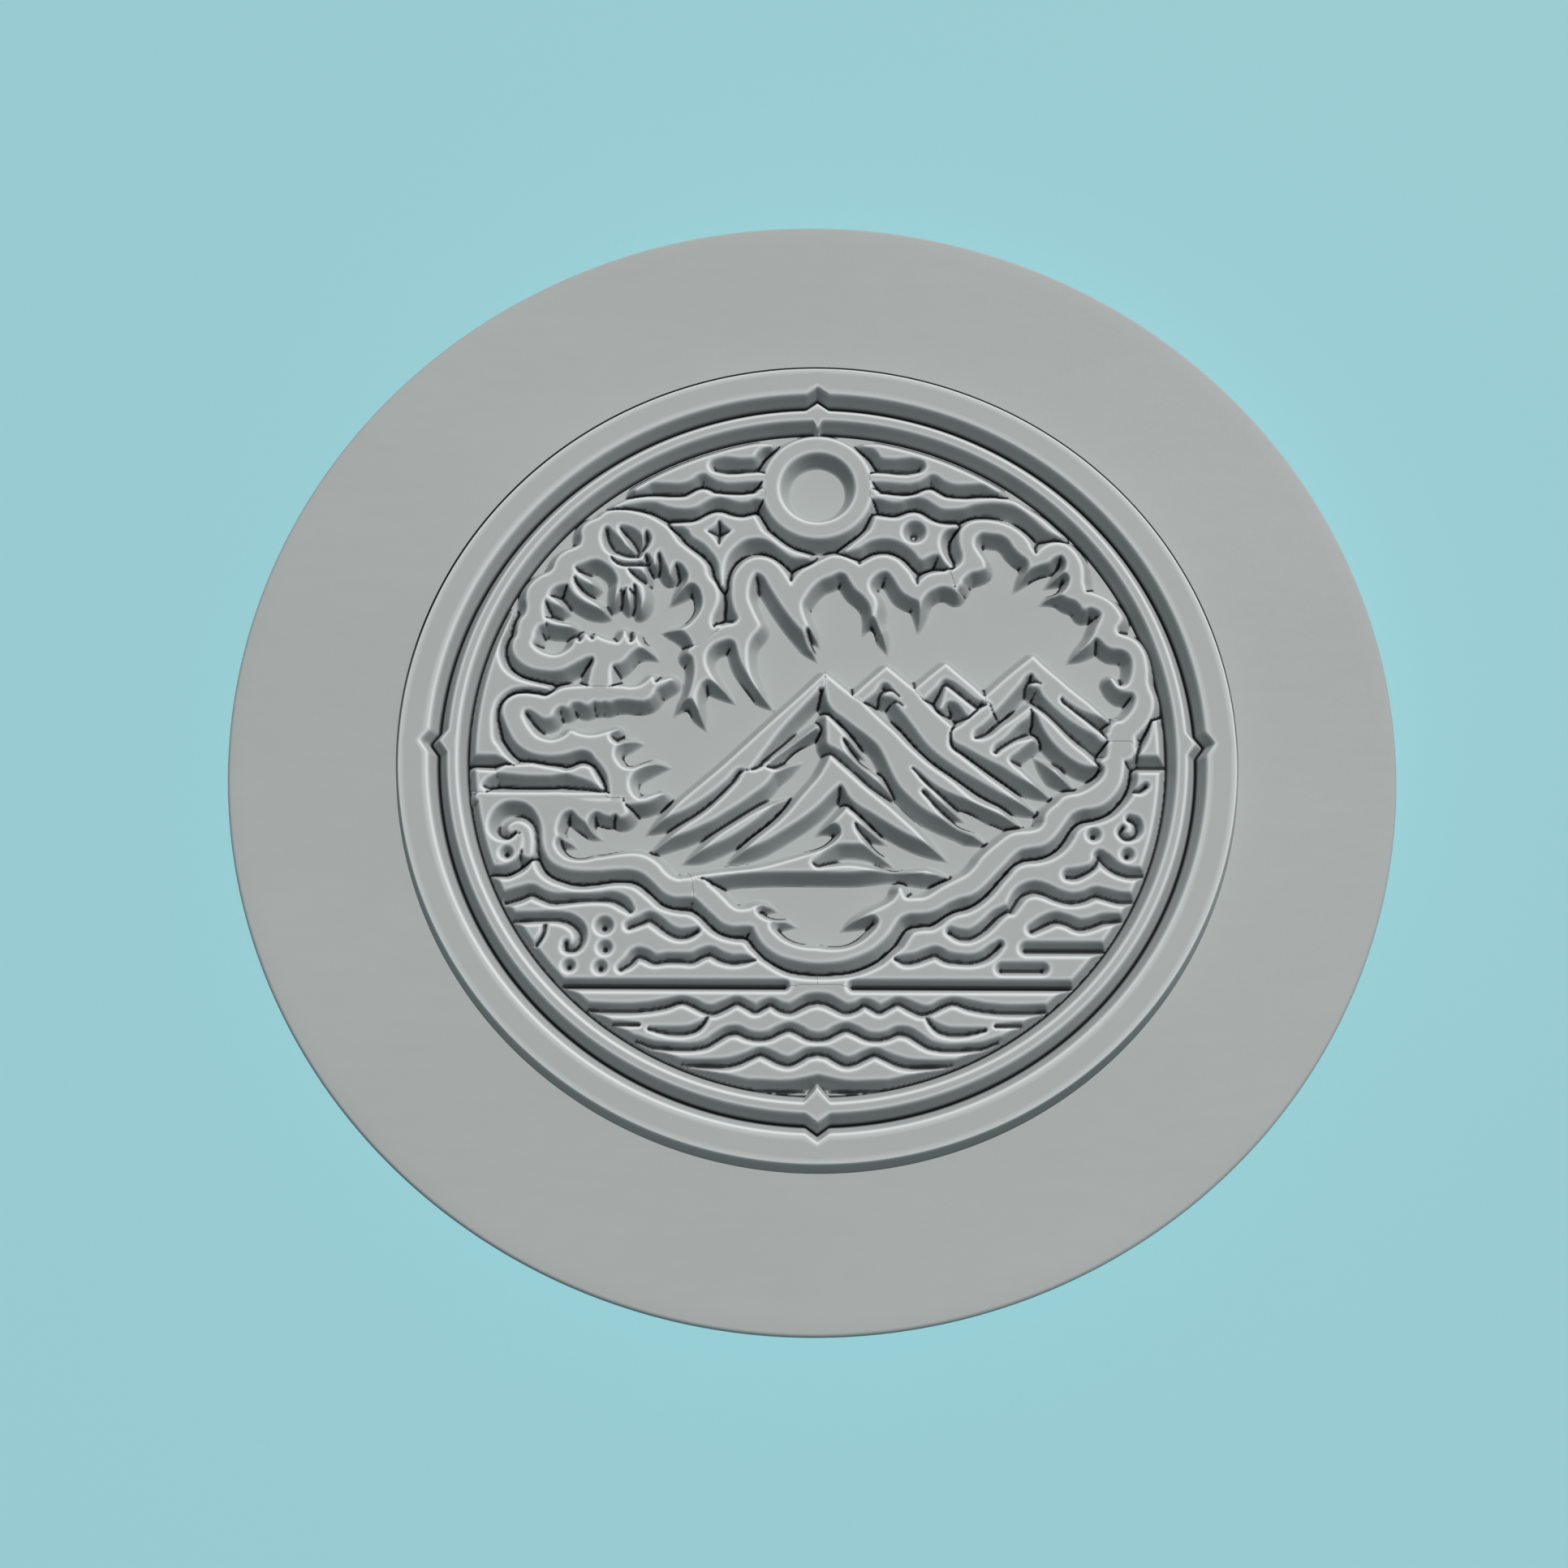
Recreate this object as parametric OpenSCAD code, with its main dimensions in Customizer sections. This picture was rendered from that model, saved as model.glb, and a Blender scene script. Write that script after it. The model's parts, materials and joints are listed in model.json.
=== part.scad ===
// Round pressed ink stick with a raised landscape medallion: a thick plain disc, and on it a
// shallow medallion of rims, clouds, a pine, mountains, a lake shore and water.

/* [Disc] */
// Diameter of the plain disc
disc_d = 90; // [70:1:120]
// Thickness of the disc up to its flat top
disc_t = 11; // [8:0.5:16]
// Radius worn off the disc's edges
disc_edge = 0.6; // [0.2:0.1:1.5]
// How much narrower the disc's bottom is than its top, each side
disc_draft = 1.6; // [0:0.1:2.5]

/* [Medallion] */
// Sideways place of the medallion's centre
medallion_x = 0.37; // [-2:0.01:2]
// Lengthways place of the medallion's centre
medallion_y = -0.8; // [-2:0.01:2]
// Height of the medallion's floor over the disc
floor_h = 0.4; // [0.2:0.1:1]
// Height of the relief over the medallion's floor
relief_h = 1.5; // [0.8:0.1:2]
// Run of a sloping wall for each millimetre it rises
wall_run = 0.54; // [0.3:0.02:0.8]

/* [Rims] */
// Outer radius of the rim's flat crest
rim_r = 32; // [31.5:0.1:34]
// Inner radius of the rim's flat crest
rim_in_r = 29.8; // [29.6:0.1:30.2]
// Outer radius of the thin ring's crest
ring_r = 28.2; // [28:0.1:28.4]
// Inner radius of the thin ring's crest
ring_in_r = 27.5; // [27.2:0.1:27.6]
// Radius of the picture inside the rims
field_r = 26; // [25.8:0.05:26.1]
// How far the four compass points stand out of the rings
point_len = 0.7; // [0.3:0.1:0.9]

/* [Sun] */
// Distance of the sun from the medallion's centre
sun_y = 21.65; // [21.4:0.05:21.8]
// Outer radius of the sun
sun_r = 4.3; // [4:0.1:4.5]
// Radius of the hollow in the sun
sun_hole_r = 3.1; // [2:0.1:3.3]

/* [Water] */
// Half the width of a water groove at the surface
groove_w = 0.55; // [0.3:0.05:0.7]
// Depth of the water grooves
groove_deep = 1; // [0.5:0.1:1.2]

/* [Hidden] */
$fn = 96;
floor_z = disc_t + floor_h;
top_z = floor_z + relief_h;
slope = wall_run * relief_h;
stone = "#a5abab";

// Outlines of the relief's crests, mm from the medallion's centre
// Top cloud beside the sun, left; the right one mirrors it
CLOUD = [
    [-14.3, 21.4], [-13, 22.25], [-11.5, 23.05], [-10, 23.75], [-8, 24.48], [-6, 25.05], [-4.6, 25.33],
    [-3.7, 25.3], [-4.4, 25.1], [-4.85, 24.7], [-5.1, 24.3], [-5.5, 24.22], [-8, 24.22], [-8.5, 23.95],
    [-8.65, 23.5], [-8.45, 23.05], [-8, 22.82], [-4.6, 22.82], [-3.9, 22.82], [-3.9, 22.2],
    [-5, 22.22], [-7.9, 22.25], [-8.4, 22.55], [-8.9, 22.87], [-9.4, 22.8], [-10, 22.35],
    [-10.6, 22.08], [-12, 22.05], [-13.2, 22.03], [-13.8, 21.62]
];
// Thin cloud strip under the left cloud
STRIP_LEFT = [
    [-15.9, 19.95], [-15, 20.4], [-14.2, 20.62], [-11, 20.66], [-10.3, 20.72], [-9.8, 21],
    [-9.2, 21.32], [-8.8, 21.32], [-8.3, 21.05], [-7.8, 20.98], [-5.2, 20.98], [-4.75, 21.1],
    [-4.4, 21.5], [-3.9, 21.6], [-3.9, 20.6], [-4.5, 20.68], [-5, 20.72], [-5.6, 20.5], [-6.2, 20.45],
    [-6.9, 20.65], [-7.6, 20.85], [-8.3, 20.75], [-9, 20.4], [-9.6, 20], [-10.2, 19.87],
    [-11.3, 19.92], [-12, 20.1], [-12.7, 20.38], [-13.6, 20.42], [-14.6, 20.25]
];
// Thin cloud strip under the right cloud
STRIP_RIGHT = [
    [3.9, 21.6], [4.4, 21.5], [4.8, 21.08], [5.3, 21], [8, 21.05], [8.4, 21.28], [8.9, 21.38],
    [9.3, 21.15], [9.9, 20.8], [10.6, 20.66], [15, 20.6], [15.5, 20.45], [16.3, 19.9], [17, 19.4],
    [17.7, 18.85], [18.3, 18.25], [19, 17.6], [18.2, 17.95], [17.7, 18.35], [17.2, 18.85],
    [16.6, 19.4], [15.9, 19.95], [15.3, 20.25], [14.5, 20.42], [13, 20.42], [12.2, 20.28], [11.4, 20],
    [10.5, 19.9], [9.8, 19.93], [9.2, 20.3], [8.5, 20.75], [7.8, 20.93], [7.1, 20.82], [6.5, 20.55],
    [5.9, 20.5], [5.2, 20.68], [4.6, 20.82], [3.9, 20.7]
];
// Pointed sky field left of the sun, round the star pit
STARS_LEFT = [
    [-11.3, 18.4], [-10.4, 18.47], [-9.8, 18.52], [-9.2, 18.72], [-8.6, 19.08], [-8, 19.33],
    [-7.6, 19.33], [-7, 19.12], [-6.4, 18.98], [-5.9, 18.93], [-5.3, 19.05], [-4.95, 19.15],
    [-4.65, 18.6], [-4.3, 17.95], [-3.7, 17.45], [-3.1, 16.92], [-2.5, 16.48], [-1.9, 16.15],
    [-1.2, 15.92], [-0.7, 15.75], [-1.4, 15.7], [-1.9, 15.75], [-2.3, 15.97], [-2.9, 16.45],
    [-3.5, 16.95], [-4.2, 17.3], [-5, 17.37], [-5.8, 17.15], [-6.5, 16.6], [-7, 15.95], [-7.27, 15.2],
    [-7.35, 14.3], [-7.4, 13.4], [-7.55, 14.3], [-7.65, 15.1], [-7.9, 15.7], [-8.3, 16.25],
    [-8.8, 16.8], [-9.3, 17.15], [-9.75, 17.45], [-10.1, 18], [-10.5, 18.3]
];
// Pointed sky field right of the sun, round the dot pit
STARS_RIGHT = [
    [4.6, 19.15], [5.2, 19.05], [5.8, 18.98], [6.4, 19.02], [6.9, 19.22], [7.4, 19.4], [7.9, 19.35],
    [8.4, 19.03], [8.9, 18.73], [9.5, 18.52], [10.2, 18.42], [10.8, 18.4], [10.1, 18.15], [9.75, 17.8],
    [9.57, 17.3], [9.6, 16.5], [9.85, 15.8], [10.3, 15.1], [10.45, 14.9], [10.05, 15.3], [9.78, 15.7],
    [9.55, 16.02], [9, 16.03], [8.5, 15.8], [8.1, 15.6], [7.7, 16.1], [7.2, 16.6], [6.6, 17.02],
    [5.9, 17.3], [5, 17.37], [4.2, 17.2], [3.6, 16.9], [3.2, 16.6], [2.3, 16.3], [2.9, 16.85],
    [3.5, 17.35], [4, 17.85], [4.2, 18.1], [4.4, 18.6]
];
// Pine canopy: outer edge over the top, then the leafy inner edge
PINE_CANOPY = [
    [-7.3, 9.9], [-8.1, 9.8], [-8.25, 10.2], [-8.2, 10.7], [-7.92, 11.4], [-7.72, 12.1], [-7.75, 12.8],
    [-8, 13.4], [-8.4, 13.9], [-8.6, 14.3], [-8.75, 14.9], [-9.2, 15.5], [-9.8, 16], [-10.4, 16.5],
    [-10.9, 16.95], [-11.3, 17.55], [-11.7, 18.1], [-12.2, 18.5], [-12.8, 18.88], [-13.5, 19.22],
    [-14.2, 19.42], [-15, 19.57], [-15.8, 19.6], [-16.6, 19.42], [-17.15, 18.95], [-17.9, 18.6],
    [-18.3, 18.25], [-18.45, 17.8], [-18.4, 17.2], [-18.5, 16.7], [-18.9, 16.4], [-19.6, 16.1],
    [-20.2, 15.6], [-20.45, 15.1], [-20.6, 14.6], [-20.9, 14.3], [-21.5, 14], [-22.1, 13.5],
    [-22.5, 12.9], [-22.6, 12.2], [-22.5, 11.5], [-22.6, 10.9], [-23, 10.3], [-23.15, 9.7],
    [-23.2, 9.1], [-23.45, 8.6], [-23.5, 8], [-23.3, 7.4], [-22.8, 6.85], [-22.1, 6.45], [-21.3, 6.28],
    [-20.4, 6.22], [-19.8, 6.32], [-19.1, 6.68], [-18.4, 7.08], [-17.7, 7.4], [-17.3, 7.4],
    [-17.15, 7], [-17.35, 6.3], [-17.5, 5.6], [-17.6, 5], [-15.9, 4.95], [-15.95, 5.6], [-15.95, 6.3],
    [-15.8, 6.75], [-15.3, 6.85], [-14.9, 7.1], [-14.5, 7.5], [-14, 7.85], [-13.3, 7.95],
    [-12.7, 7.75], [-12.2, 7.5], [-12.7, 7.95], [-13.2, 8.3], [-13.75, 8.75], [-14, 9.35],
    [-14.25, 8.75], [-14.45, 8.6], [-14.7, 8.9], [-14.95, 9.5], [-15.1, 8.9], [-15.4, 8.5],
    [-15.9, 8.55], [-16.5, 8.72], [-17.1, 9], [-17.4, 8.7], [-17.7, 8.85], [-17.95, 9.15],
    [-18.15, 8.7], [-18.4, 8.55], [-18.65, 8.7], [-18.9, 8.2], [-19.4, 7.72], [-20.1, 7.4], [-21, 7.5],
    [-21.8, 7.95], [-22.15, 8.45], [-22, 8.9], [-21.9, 9.5], [-21.6, 9.95], [-21.1, 10.15],
    [-21.2, 10.6], [-21.3, 11.2], [-21.25, 11.9], [-21, 12.35], [-20.85, 12.8], [-20.4, 13.25],
    [-19.7, 13.45], [-19.15, 13.45], [-19.05, 13.9], [-18.9, 14.4], [-19, 14.85], [-18.4, 15.2],
    [-17.6, 15.5], [-17.1, 15.5], [-16.4, 15.1], [-15.8, 14.5], [-15.5, 13.7], [-15.5, 13.2],
    [-15.15, 13.05], [-14.8, 13.2], [-14.5, 13], [-14.3, 13.5], [-13.8, 13.4], [-13.5, 13.9],
    [-13.6, 14.7], [-13.75, 15.6], [-13.45, 16.1], [-13.05, 15.9], [-12.75, 15.2], [-12.6, 16],
    [-12.35, 16.3], [-12.05, 15.8], [-11.75, 14.9], [-11.5, 14.2], [-11.35, 14.8], [-11.1, 15.3],
    [-10.7, 15.2], [-10.3, 14.7], [-10.12, 14.2], [-10.25, 13.7], [-10.7, 13.2], [-11.5, 12.05],
    [-10.6, 12.85], [-10.1, 13.3], [-9.7, 13.42], [-9.3, 13.1], [-9.05, 12.5], [-8.98, 11.9],
    [-9.1, 11.3], [-9.4, 10.75], [-9.9, 10.2], [-10.5, 9.93], [-11.3, 9.9], [-12.1, 9.85],
    [-11.5, 9.65], [-10.9, 9.5], [-10.2, 9.15], [-9.75, 8.6], [-9.6, 8.2]
];
// Winding pine limb with its twigs
PINE_BRANCH = [
    [-17.6, 4.9], [-18.3, 4.85], [-19, 4.8], [-19.7, 4.65], [-20.3, 4.3], [-20.9, 4], [-21.5, 4.1],
    [-22.4, 4.22], [-23.1, 4.15], [-23.65, 3.85], [-24, 3.4], [-24.1, 2.8], [-23.9, 2.1], [-23.6, 1.4],
    [-23.3, 0.8], [-22.9, 0.25], [-22.4, -0.15], [-21.9, -0.42], [-21.2, -0.6], [-20, -0.65],
    [-19.2, -0.5], [-18.5, -0.27], [-17.9, -0.2], [-17.3, -0.42], [-16.9, -0.9], [-16.4, -1.5],
    [-15.95, -2.25], [-15.8, -3], [-15.75, -3.7], [-15.9, -4.1], [-14.7, -4.1], [-14.6, -4.5],
    [-14.1, -4.5], [-13.6, -4.45], [-13, -4.35], [-12.4, -4.1], [-11.75, -3.65], [-12.5, -3.9],
    [-13.1, -4.15], [-13.6, -4.2], [-14, -3.9], [-14.3, -3.3], [-14.35, -2.7], [-14.1, -2.15],
    [-13.5, -1.75], [-12.6, -1.45], [-11.2, -1.2], [-12, -1], [-12.8, -1.15], [-13.5, -1.45],
    [-14.2, -1.72], [-14.8, -1.62], [-15.2, -1.2], [-15.45, -0.6], [-15.35, -0.1], [-15, 0.25],
    [-14.4, 0.4], [-13.3, 0.72], [-14.1, 0.82], [-14.8, 0.62], [-15.3, 0.38], [-15.75, 0.6],
    [-15.9, 1], [-15.3, 1.5], [-16.2, 1.15], [-16.9, 0.9], [-17.5, 0.85], [-18.3, 1], [-18.9, 1.22],
    [-19.2, 0.9], [-19.7, 0.6], [-20.2, 0.45], [-20.8, 0.5], [-21.5, 0.8], [-22, 1.35], [-22.4, 2],
    [-22.62, 2.65], [-22.5, 3], [-22.1, 3.05], [-21.5, 2.7], [-20.9, 2.35], [-20.45, 2.5], [-20.2, 3],
    [-19.7, 3.35], [-19.25, 3.25], [-18.9, 3.6], [-18.3, 3.68], [-17.7, 3.45], [-17.3, 3.7],
    [-16.7, 3.85], [-16, 3.7], [-15.6, 3.85], [-15, 3.92], [-13, 3.92], [-12.7, 4.3], [-12.45, 4.8],
    [-11.9, 5.15], [-11.3, 5.55], [-12, 5.35], [-12.5, 5.2], [-12.75, 5.65], [-13.2, 5.2],
    [-13.7, 4.9], [-14.3, 4.78], [-15, 4.85], [-15.9, 4.9]
];
// Scallop topped band of hanging fronds
FRONDS = [
    [-7.3, 9.9], [-6.9, 10], [-6.4, 10.1], [-6.1, 10.5], [-6.35, 11.2], [-6.58, 12.2], [-6.6, 13.2],
    [-6.5, 14], [-6.1, 14.75], [-5.5, 15.35], [-4.6, 15.65], [-3.8, 15.5], [-3.2, 15.1], [-2.7, 14.5],
    [-2.35, 13.95], [-2.05, 13.4], [-1.7, 14], [-1.2, 14.55], [-0.5, 14.95], [0.3, 15.4], [1.2, 15.8],
    [2, 15.72], [2.7, 15.4], [3.3, 15.05], [3.9, 15.4], [4.6, 15.75], [5.4, 15.83], [6.2, 15.5],
    [6.8, 14.9], [7.2, 14.4], [7.5, 13.8], [7.8, 13.45], [8.1, 13.8], [8.6, 14.2], [9.3, 14.42],
    [10.35, 14.5], [10.8, 13], [10.2, 13.3], [9.6, 13.35], [9, 13.1], [8.5, 12.7], [8.2, 12.1],
    [8.1, 11.3], [8, 10.6], [7.85, 9.9], [7.92, 10.6], [7.9, 11.4], [7.75, 12], [7.2, 12.35],
    [6.7, 12.75], [6.3, 13.4], [5.9, 14.1], [5.4, 14.6], [4.8, 14.5], [4.3, 14.1], [4, 13.5],
    [4.15, 12.9], [4.5, 12.4], [4.72, 11.8], [4.75, 11.1], [4.8, 10.5], [5.05, 9.8], [5.3, 9],
    [5.5, 8.1], [5.2, 8.9], [4.9, 9.6], [4.6, 10.25], [4.25, 10.5], [3.9, 10.3], [3.55, 9.7],
    [3.95, 10.9], [3.97, 11.6], [3.6, 12.4], [3, 13.05], [2.55, 13.8], [2.2, 14.35], [1.7, 14.5],
    [1, 14.2], [0.2, 13.85], [-0.4, 13.3], [-0.95, 12.5], [-1.25, 11.8], [-1, 10.9], [-0.5, 10.1],
    [-0.1, 9.4], [0.2, 8.7], [-0.3, 9.3], [-0.7, 9.75], [-0.75, 9.2], [-0.45, 8.4], [0, 7.5],
    [-0.8, 8.5], [-1.4, 9.5], [-2.2, 10.85], [-3, 12.1], [-3.7, 13.3], [-4.3, 14.25], [-4.8, 14.45],
    [-5.15, 14], [-5.37, 13.2], [-5.4, 12.3], [-5.1, 11.4], [-4.75, 10.6], [-4.5, 9.95], [-4.7, 9.6],
    [-5.1, 9.1], [-5.4, 8.4], [-5.45, 7.5], [-5.3, 6.6], [-4.9, 5.6], [-4.4, 4.8], [-3.9, 4.1],
    [-3.4, 3.5], [-4.3, 4.25], [-5, 5.1], [-5.6, 6.2], [-5.95, 7.2], [-6.15, 8.1], [-6.4, 8.7],
    [-6.8, 8.9], [-7.5, 8.75], [-8.2, 8.35], [-8.62, 7.7], [-8.65, 6.9], [-8.35, 6.2], [-7.8, 5.5],
    [-7.1, 4.8], [-6.3, 4], [-7.3, 4.75], [-8, 5.25], [-8.5, 5.5], [-8.9, 5.3], [-9.15, 4.7],
    [-9.2, 4], [-9, 3.2], [-8.75, 2.4], [-8.5, 1.8], [-9, 2.55], [-9.4, 3.3], [-9.8, 3.72],
    [-10.3, 3.72], [-10.7, 3.4], [-11.05, 2.95], [-10.5, 3.75], [-10, 4.4], [-9.65, 5.2], [-9.45, 6],
    [-9.45, 6.8], [-9.6, 7.4], [-9.95, 7.75], [-9.6, 8.2]
];
// Leafy canopy along the right edge
RIGHT_CANOPY = [
    [10.35, 14.55], [11, 14.95], [11.35, 15.4], [11.4, 15.9], [11.25, 16.6], [11.17, 17.3],
    [11.25, 17.9], [11.6, 18.4], [12.1, 18.72], [12.9, 18.85], [14, 18.75], [15, 18.42], [15.9, 17.8],
    [16.5, 17.1], [16.8, 16.5], [17.1, 16.2], [17.5, 16.55], [18.1, 16.88], [18.9, 17], [19.6, 16.75],
    [20.1, 16.25], [20.45, 15.7], [20.68, 15.1], [20.75, 14.4], [20.75, 13.7], [20.9, 12.92],
    [21.6, 12.68], [22.4, 12.3], [23, 11.8], [23.4, 11.2], [23.58, 10.75], [23.42, 10.35],
    [23.15, 9.95], [23.2, 9.5], [23.6, 9.25], [24.2, 9.05], [24.75, 8.6], [25.15, 7.95], [25.35, 7.2],
    [25.42, 6.3], [25.4, 5.4], [25.55, 4.8], [25.75, 4.2], [25.75, 3.4], [25.5, 2.6], [25.1, 1.95],
    [24.5, 1.3], [23.95, 0.7], [22.3, 0.6], [22.15, 0.95], [22.6, 1.55], [23, 1.95], [23.35, 2.2],
    [23.75, 2.55], [24.15, 3.05], [24.42, 3.6], [24.5, 4.2], [24.3, 4.6], [23.8, 4.7], [23.3, 4.8],
    [22.95, 5.15], [22.65, 5.7], [22.8, 5.5], [23.1, 5.1], [23.5, 5], [23.9, 5.2], [24.2, 5.8],
    [24.35, 6.6], [24.3, 7.4], [23.9, 8], [23.3, 8.22], [22.7, 8.25], [22.3, 8.45], [21.9, 8.9],
    [21.6, 9.08], [21, 8.5], [20.3, 7.95], [19.4, 7.45], [20.1, 8.15], [20.8, 8.7], [21.3, 9.25],
    [21.7, 10], [22, 10.6], [22.1, 11.1], [21.7, 11.5], [21.1, 11.68], [20.65, 11.5], [20.4, 11.85],
    [20, 12.15], [19.3, 12.3], [18.6, 12.58], [18, 12.5], [17.4, 12.3], [18.1, 12.75], [18.9, 13],
    [19.4, 13.6], [19.5, 14.1], [19.25, 14.35], [18.6, 14.1], [17.8, 13.7], [18.7, 14.45],
    [19.25, 14.95], [19.35, 15.5], [19.05, 15.95], [18.6, 15.75], [18.1, 15.2], [17.3, 14.87],
    [16.4, 14.5], [15.35, 13.35], [15.9, 14.2], [16.35, 14.9], [16.35, 15.5], [15.85, 16],
    [15.4, 16.6], [15, 17.3], [14.5, 17.68], [13.6, 17.85], [12.8, 17.88], [12.3, 17.4], [12.25, 16.8],
    [12.6, 16.1], [13.05, 15.35], [13.1, 14.9], [12.6, 14.65], [12, 14.55], [11.5, 14.2],
    [11.05, 13.6], [10.8, 13.05]
];
// Near peak: long west ridge
RIDGE_WEST_LONG = [
    [0.55, 5.95], [-1.2, 4.2], [-3.2, 2.3], [-5.3, 0.25], [-7, -1.4], [-9, -3.2], [-11, -4.95],
    [-13, -6.6], [-12, -6.1], [-11, -5.5], [-10, -4.9], [-9, -4.25], [-8, -3.5], [-7, -2.6],
    [-5.9, -1.6], [-5.35, -1.75], [-4.8, -1.2], [-4.2, -0.35], [-3.8, 0.2], [-3, 1.3], [-2, 2.5],
    [-1, 3.6], [-0.2, 4.5], [0.2, 5], [0.55, 4.95]
];
// Near peak: middle west ridge
RIDGE_WEST_MID = [
    [-5.35, -1.85], [-6, -2.75], [-7, -3.9], [-8, -4.9], [-9, -5.7], [-10, -6.35], [-11, -7],
    [-12, -7.7], [-12.8, -8.25], [-11.8, -7.75], [-11, -7.25], [-10, -6.75], [-9, -6.25], [-8, -5.75],
    [-7, -5.1], [-6, -4.45], [-5, -3.7], [-4, -2.9], [-3.3, -2.1], [-2.2, -1.45], [-1.1, -0.75],
    [-2.2, -1.25], [-3.35, -1.75], [-4, -1.45], [-3.3, -0.85], [-1.9, 0.3], [-0.1, 1.7], [-1.6, 0.7],
    [-3.2, -0.6], [-4.4, -1.75], [-4.9, -1.9]
];
// Near peak: low west ridge
RIDGE_WEST_LOW = [
    [-2.05, -3.55], [-3.5, -4.4], [-5, -5.45], [-6.5, -6.45], [-8, -7.45], [-9.2, -8.25],
    [-10.2, -8.9], [-9, -8.45], [-7.6, -7.6], [-6.2, -6.75], [-4.8, -5.75], [-3.4, -4.75],
    [-2.3, -3.9]
];
// Near peak: east face
RIDGE_EAST = [
    [0.62, 5.95], [1.7, 5], [2.7, 4.15], [3.4, 3.7], [4.2, 2.85], [5, 2.05], [6, 1.1], [6.7, 0.3],
    [7.5, -0.5], [8.3, -1.25], [9.2, -1.95], [10, -2.5], [11, -3.2], [12, -3.9], [13, -4.5],
    [14, -5.05], [15, -5.65], [15.9, -6.15], [14.4, -5.6], [13.2, -5.1], [12.2, -4.75], [11.3, -4.4],
    [10.3, -3.85], [9.3, -3.15], [8.3, -2.3], [7.5, -1.6], [7.15, -1.5], [7.5, -2.1], [8, -2.75],
    [9.1, -3.75], [10.1, -4.6], [11.2, -5.45], [10, -4.9], [8.9, -3.95], [8.15, -3.2], [7.85, -3.3],
    [8.5, -4.3], [9.5, -5.25], [10.5, -5.95], [11.5, -6.5], [13, -7.35], [11.3, -6.72], [10.2, -6.2],
    [9.2, -5.62], [8.3, -5], [7.5, -4.3], [6.9, -3.7], [6.3, -3], [5.9, -2.3], [5.5, -1.4],
    [5.1, -0.5], [4.7, 0.2], [4, 0.9], [3, 1.7], [2, 2.5], [1.3, 3.05], [0.9, 3.6], [0.72, 4.3],
    [0.6, 4.95]
];
// Near peak: inner face
RIDGE_HEART = [
    [0.72, 2.5], [1.4, 1.85], [2.2, 1.1], [2.9, 0.35], [3.7, -0.5], [3, -0.05], [2.4, 0.55],
    [2.05, 0.75], [2.3, 0.1], [2.8, -0.5], [3.5, -1.2], [4.3, -2], [5.1, -2.8], [6, -3.85],
    [4.9, -3.1], [3.9, -2.25], [2.9, -1.4], [1.9, -0.55], [1.25, -0.02], [0.85, 0.25], [0.76, 1.2]
];
// Near peak: front face
RIDGE_FRONT = [
    [1, -0.75], [1.5, -1.25], [2.5, -2.2], [3.5, -3.15], [4.5, -4], [5.5, -4.85], [6.5, -5.8],
    [7.5, -6.7], [8.5, -7.55], [9.9, -8.6], [8.6, -7.85], [7.4, -7.15], [6.2, -6.45], [5, -5.7],
    [4, -5.05], [3, -4.42], [2.4, -3.8], [2.1, -3.2], [1.75, -2.85], [1.4, -3.1], [0.8, -3.7],
    [0, -4.55], [-1, -5.4], [-2, -6.1], [-3, -6.75], [-4, -7.4], [-5, -8], [-6, -8.5], [-6.9, -8.95],
    [-5.9, -8.25], [-4.9, -7.55], [-3.9, -6.85], [-3, -6.1], [-2.1, -5.15], [-1.2, -4], [-0.4, -3.05],
    [0.2, -2.3], [0.65, -1.5]
];
// Front hill and the waterline under it
FRONT_HILL = [
    [2.2, -4.85], [3, -5.6], [3.8, -6.3], [5.3, -7.3], [4.3, -6.8], [3.4, -6.2], [2.85, -5.95],
    [2.85, -6.3], [3.3, -7], [4, -7.8], [4.8, -8.45], [5.8, -9.1], [4.9, -8.6], [4.2, -8.1],
    [3.4, -7.8], [2.4, -7.65], [1.6, -7.8], [0.8, -8.25], [0, -8.8], [-0.4, -9.1], [-0.2, -9.5],
    [0.8, -9.5], [2, -9.42], [3.5, -9.42], [5, -9.45], [6.5, -9.55], [8, -9.68], [9.2, -9.85],
    [10.6, -10.15], [9, -10.02], [6, -9.9], [3, -9.82], [0, -9.8], [-3, -9.8], [-6, -9.95],
    [-8, -10.25], [-9, -10.35], [-9.4, -10.35], [-8.6, -10.2], [-7.4, -10.02], [-6, -9.87],
    [-5, -9.75], [-4, -9.55], [-3, -9.28], [-2, -8.92], [-1, -8.48], [0, -8.05], [0.8, -7.62],
    [1.35, -7.2], [1.65, -6.75], [1.5, -6.35], [1.1, -6.2], [0.5, -6.3], [-0.1, -6.6], [0.5, -6.15],
    [1.2, -5.65], [1.8, -5.2]
];
// Second peak
SECOND_PEAK = [
    [2.75, 4.15], [3.9, 5.25], [5.33, 6.55], [6.4, 5.6], [7.45, 4.7], [8, 4], [8.9, 3], [10.2, 1.75],
    [10, 0.6], [10, 0.25], [11, -0.75], [12, -1.6], [13, -2.45], [14, -3.2], [15, -3.85], [16, -4.4],
    [17, -5], [15.8, -4.6], [14.6, -3.95], [13.4, -3.2], [12, -2.35], [11, -1.75], [10, -1.05],
    [9, -0.25], [8.3, 0.5], [7.6, 1.5], [6.9, 2.5], [6.35, 3.2], [6.1, 3.65], [6.7, 3.35], [6.2, 3.85],
    [5.7, 4.2], [5.25, 4.3], [5.7, 4.55], [6.35, 4.15], [5.9, 4.75], [5.45, 5.3], [5.1, 5.4],
    [4.3, 4.5], [3.45, 3.75]
];
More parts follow.
